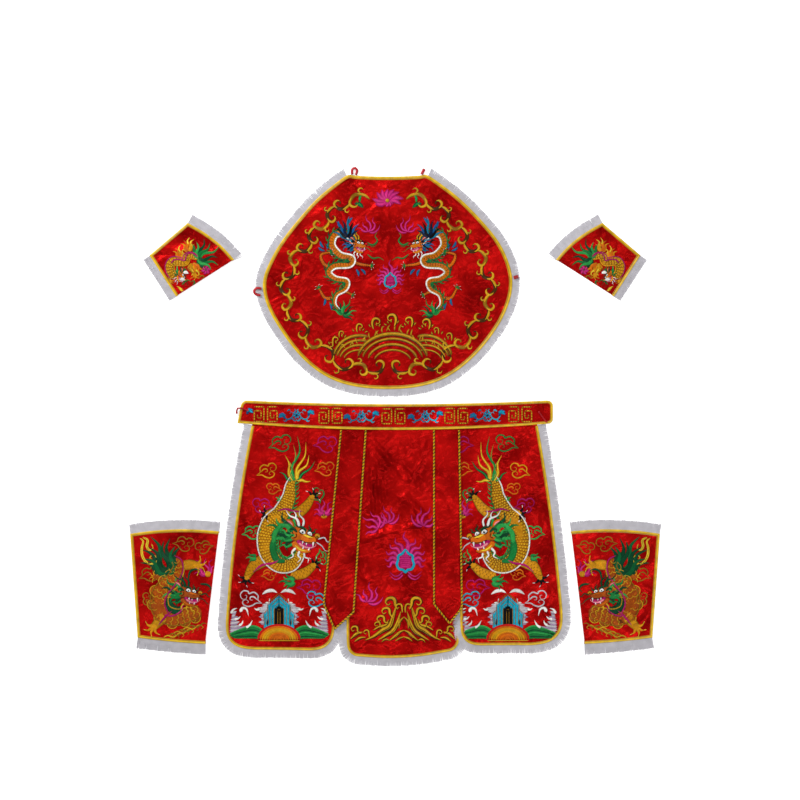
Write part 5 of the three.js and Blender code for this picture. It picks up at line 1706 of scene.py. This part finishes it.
class CostumeFringe(bpy.types.Operator):
    """Hangs the threads of the fringe outside the tape"""

    bl_idname = "costume.fringe"
    bl_label = "Thread fringe"

    def execute(self, context):
        bib = part_of(chains["bib_cloth"], off_neck)
        fringe_piece("bib_threads", [(bib, 19.5, None)], ["bib_fringe"], 21)
        sides = {
            "left": lambda x, y: off_top(x, y) and (x < -SIDE_EDGE or y < INNER_FRINGE_TOP),
            "centre": lambda x, y: y < INNER_FRINGE_TOP,
            "right": lambda x, y: off_top(x, y) and (x > SIDE_EDGE or y < INNER_FRINGE_TOP),
        }
        for seed, (panel, wanted) in enumerate(sides.items()):
            chain = part_of(chains[f"skirt_cloth_{panel}"], wanted)
            fringe_piece(f"skirt_threads_{panel}", [(chain, 21, None)], [f"skirt_fringe_{panel}"], 30 + seed)
        for side in ("left", "right"):
            for short, long, lengths in (("guard", "leg_guard", (27.5, 24.5)),
                                         ("cuff", "cuff", (20.5, 24.5))):
                ends = folded_ends(chains[f"{short}_cloth_{side}"])
                for end, length, place in zip(ends, lengths, ("low", "high")):
                    fringe_piece(f"{short}_threads_{side}_{place}",
                                 [(end, length, None), (end, length * 0.97, 1.4)],
                                 [f"{long}_{side}_fringe_{place}"], 40)
        return {"FINISHED"}


class CostumeLoops(bpy.types.Operator):
    """Rounds the rouleau loops of the bib and the cords of the waistband"""

    bl_idname = "costume.loops"
    bl_label = "Rouleau loops"

    def execute(self, context):
        for place in ("neck_left", "neck_right", "side_left", "side_right"):
            smooth_piece(f"bib_rouleau_{place}", f"bib_loop_{place}", "rouleau")
        for side in ("left", "right"):
            smooth_piece(f"waist_rouleau_{side}", f"waist_tie_{side}", "rouleau")
        return {"FINISHED"}


# Twisted cord: the step and length of a turn, and how far out its yarns lie and their half width
ROPE_STEP = 1.15
ROPE_PITCH = 8.6
YARN_OFFSET = 1.15
YARN_HALF = 1.25
# Its routes along the edges of the ribbons: x, y, z in millimetres
ROPE_ROUTES = {
    "left": [(-134.5, -34, 6.4), (-177.8, -466, 6.9), (-177.6, -468.6, 7.0), (-150.9, -530.8, 7.6),
        (-104.2, -489.0, 4.6), (-103.6, -487, 4.5), (-72.9, -34, 4.5)],
    "right": [(97.5, -34, 4.5), (97.7, -467, 4.5), (98.4, -470, 4.6), (136.4, -516.5, 7.0),
        (167.0, -477.5, 7.4), (167.4, -475, 7.4), (160.1, -34, 7.4)],
}


class CostumeRopes(bpy.types.Operator):
    """Twists gold and green yarns along the edges of the ribbons"""

    bl_idname = "costume.ropes"
    bl_label = "Twisted cord"

    def execute(self, context):
        for side, route in ROPE_ROUTES.items():
            middle = evenly(route, ROPE_STEP)
            ahead = unit(np.gradient(middle, axis=0))
            aside = unit(np.c_[left_of(ahead), 0 * ahead[:, 0]])
            above = np.cross(ahead, aside)
            turn = np.arange(len(middle)) * ROPE_STEP / ROPE_PITCH * 2 * math.pi
            splines = []
            for index, phase in ((0, 0.0), (0, 2.09), (1, 4.19)):
                swing = np.cos(turn + phase)[:, None] * aside + np.sin(turn + phase)[:, None] * above
                splines.append((middle + YARN_OFFSET * swing, np.full(len(middle), YARN_HALF), index))
            section = [(-1, 0), (0, 1), (1, 0), (0, -1)]
            mesh = swept_mesh(f"ribbon_cord_{side}", section, splines, ["gold", "forest"])
            count = len(mesh.vertices)
            for name, value in (("run", 0), ("across", 0), ("rim", 0.2), ("tint", 1)):
                add_attribute(mesh, name, np.full(count, value))
            shade(mesh, ["gold", "forest"])
            put_in_scene(f"ribbon_cord_{side}", mesh, [f"ribbon_rope_{side}"])
        return {"FINISHED"}


# The camera, in metres: the point under it, the width it sees and its height
PHOTO_CENTRE = (0.0125, 0.0415)
PHOTO_WIDTH = 2.0
CAMERA_HEIGHT = 7.0
# Area lights: name, place, size and power
LIGHTS = [
    ("key", (-2.5, 2.7, 1.9), 0.9, 190), ("fill", (3.0, -1.4, 2.6), 1.6, 55),
    ("gloss", (-0.7, 2.0, 5.0), 0.8, 60), ("sheen", (0.9, -2.3, 5.0), 0.8, 75),
]
FLOOR_HALF = 9
FLOOR_GAP = 0.0002


class CostumeStage(bpy.types.Operator):
    """Sets the floor, the studio light and the camera straight above"""

    bl_idname = "costume.stage"
    bl_label = "Stage"

    def execute(self, context):
        scene = context.scene
        bm = bmesh.new()
        bmesh.ops.create_grid(bm, x_segments=2, y_segments=2, size=FLOOR_HALF)
        mesh = bpy.data.meshes.new("floor")
        bm.to_mesh(mesh)
        bm.free()
        mesh.transform(Matrix.Translation((0, 0, -FLOOR_GAP)))
        mesh.materials.append(new_material(
            "Pale floor", Roughness=0.9, Base_Color=(0.86, 0.86, 0.86, 1), Specular_IOR_Level=0.1,
            Emission_Color=(0.3, 0.3, 0.3, 1), Emission_Strength=1)[0])
        floor = bpy.data.objects.new("floor", mesh)
        scene.collection.objects.link(floor)
        data = bpy.data.cameras.new("camera")
        data.lens = data.sensor_width * CAMERA_HEIGHT / PHOTO_WIDTH
        data.clip_end = 50
        camera = bpy.data.objects.new("camera", data)
        camera.location = (*PHOTO_CENTRE, CAMERA_HEIGHT)
        scene.collection.objects.link(camera)
        scene.camera = camera
        for name, where, size, power in LIGHTS:
            light = bpy.data.lights.new(name, "AREA")
            light.size = size
            light.energy = power
            lamp = bpy.data.objects.new(name, light)
            lamp.location = where
            lamp.rotation_euler = (-Vector(where)).to_track_quat("-Z", "Y").to_euler()
            scene.collection.objects.link(lamp)
        world = bpy.data.worlds.new("studio")
        world.use_nodes = True
        world.node_tree.nodes["Background"].inputs[0].default_value = (1, 1, 1, 1)
        world.node_tree.nodes["Background"].inputs[1].default_value = 0.34
        scene.world = world
        scene.view_settings.view_transform = "Standard"
        return {"FINISHED"}


def colour(name, description, default):
    """A colour of the add-on's settings"""
    return FloatVectorProperty(name=name, description=description, subtype="COLOR", size=3, min=0, max=1,
                               default=default)


class CostumeSettings(bpy.types.PropertyGroup):
    """Colours and sizes of the costume"""

    satin: colour("Satin", "Colour of the satin in the light", (0.42, 0.0035, 0.003))
    # Painted shade: the satin's darker colour in its broad patches
    satin_painted_shade: colour("Satin shade", "Colour of the satin in its duller patches", (0.16, 0.0007, 0.0007))
    tape_outer: colour("Outer tape", "Colour of the outer half of the tape", (0.62, 0.385, 0.006))
    tape_inner: colour("Inner tape", "Colour of the inner half of the tape", (0.38, 0.19, 0.004))
    fringe: colour("Fringe", "Colour of the fringe", (0.535, 0.52, 0.55))
    rouleau: colour("Rouleau", "Colour of the loops", (0.36, 0.006, 0.012))
    fringe_spacing: FloatProperty(name="Fringe spacing",
                                  description="Distance between the threads of the fringe",
                                  unit="LENGTH", min=0.0003, max=0.01, default=0.00085)
    thread: FloatProperty(name="Thread", description="Width of an embroidery thread", unit="LENGTH",
                          min=0.0002, max=0.01, default=0.0007)


OPERATORS = [
    CostumeStage, CostumeCloth, CostumeBinding, CostumeFringe, CostumeLoops, CostumeRopes, CostumeEmbroidery,
]


class CostumePanel(bpy.types.Panel):
    """Lists the pieces of the costume"""

    bl_idname = "VIEW3D_PT_costume"
    bl_label = "Costume"
    bl_space_type = "VIEW_3D"
    bl_region_type = "UI"
    bl_category = "Costume"

    def draw(self, context):
        for name in CostumeSettings.__annotations__:
            self.layout.prop(context.scene.costume, name)
        for operator in OPERATORS:
            self.layout.operator(operator.bl_idname)


CLASSES = [CostumeSettings, *OPERATORS, CostumePanel]


def register():
    for made in CLASSES:
        bpy.utils.register_class(made)
    bpy.types.Scene.costume = PointerProperty(type=CostumeSettings)


def unregister():
    del bpy.types.Scene.costume
    for made in reversed(CLASSES):
        bpy.utils.unregister_class(made)


def main():
    register()
    for operator in OPERATORS:
        module, name = operator.bl_idname.split(".")
        getattr(getattr(bpy.ops, module), name)()


if __name__ == "__main__":
    main()
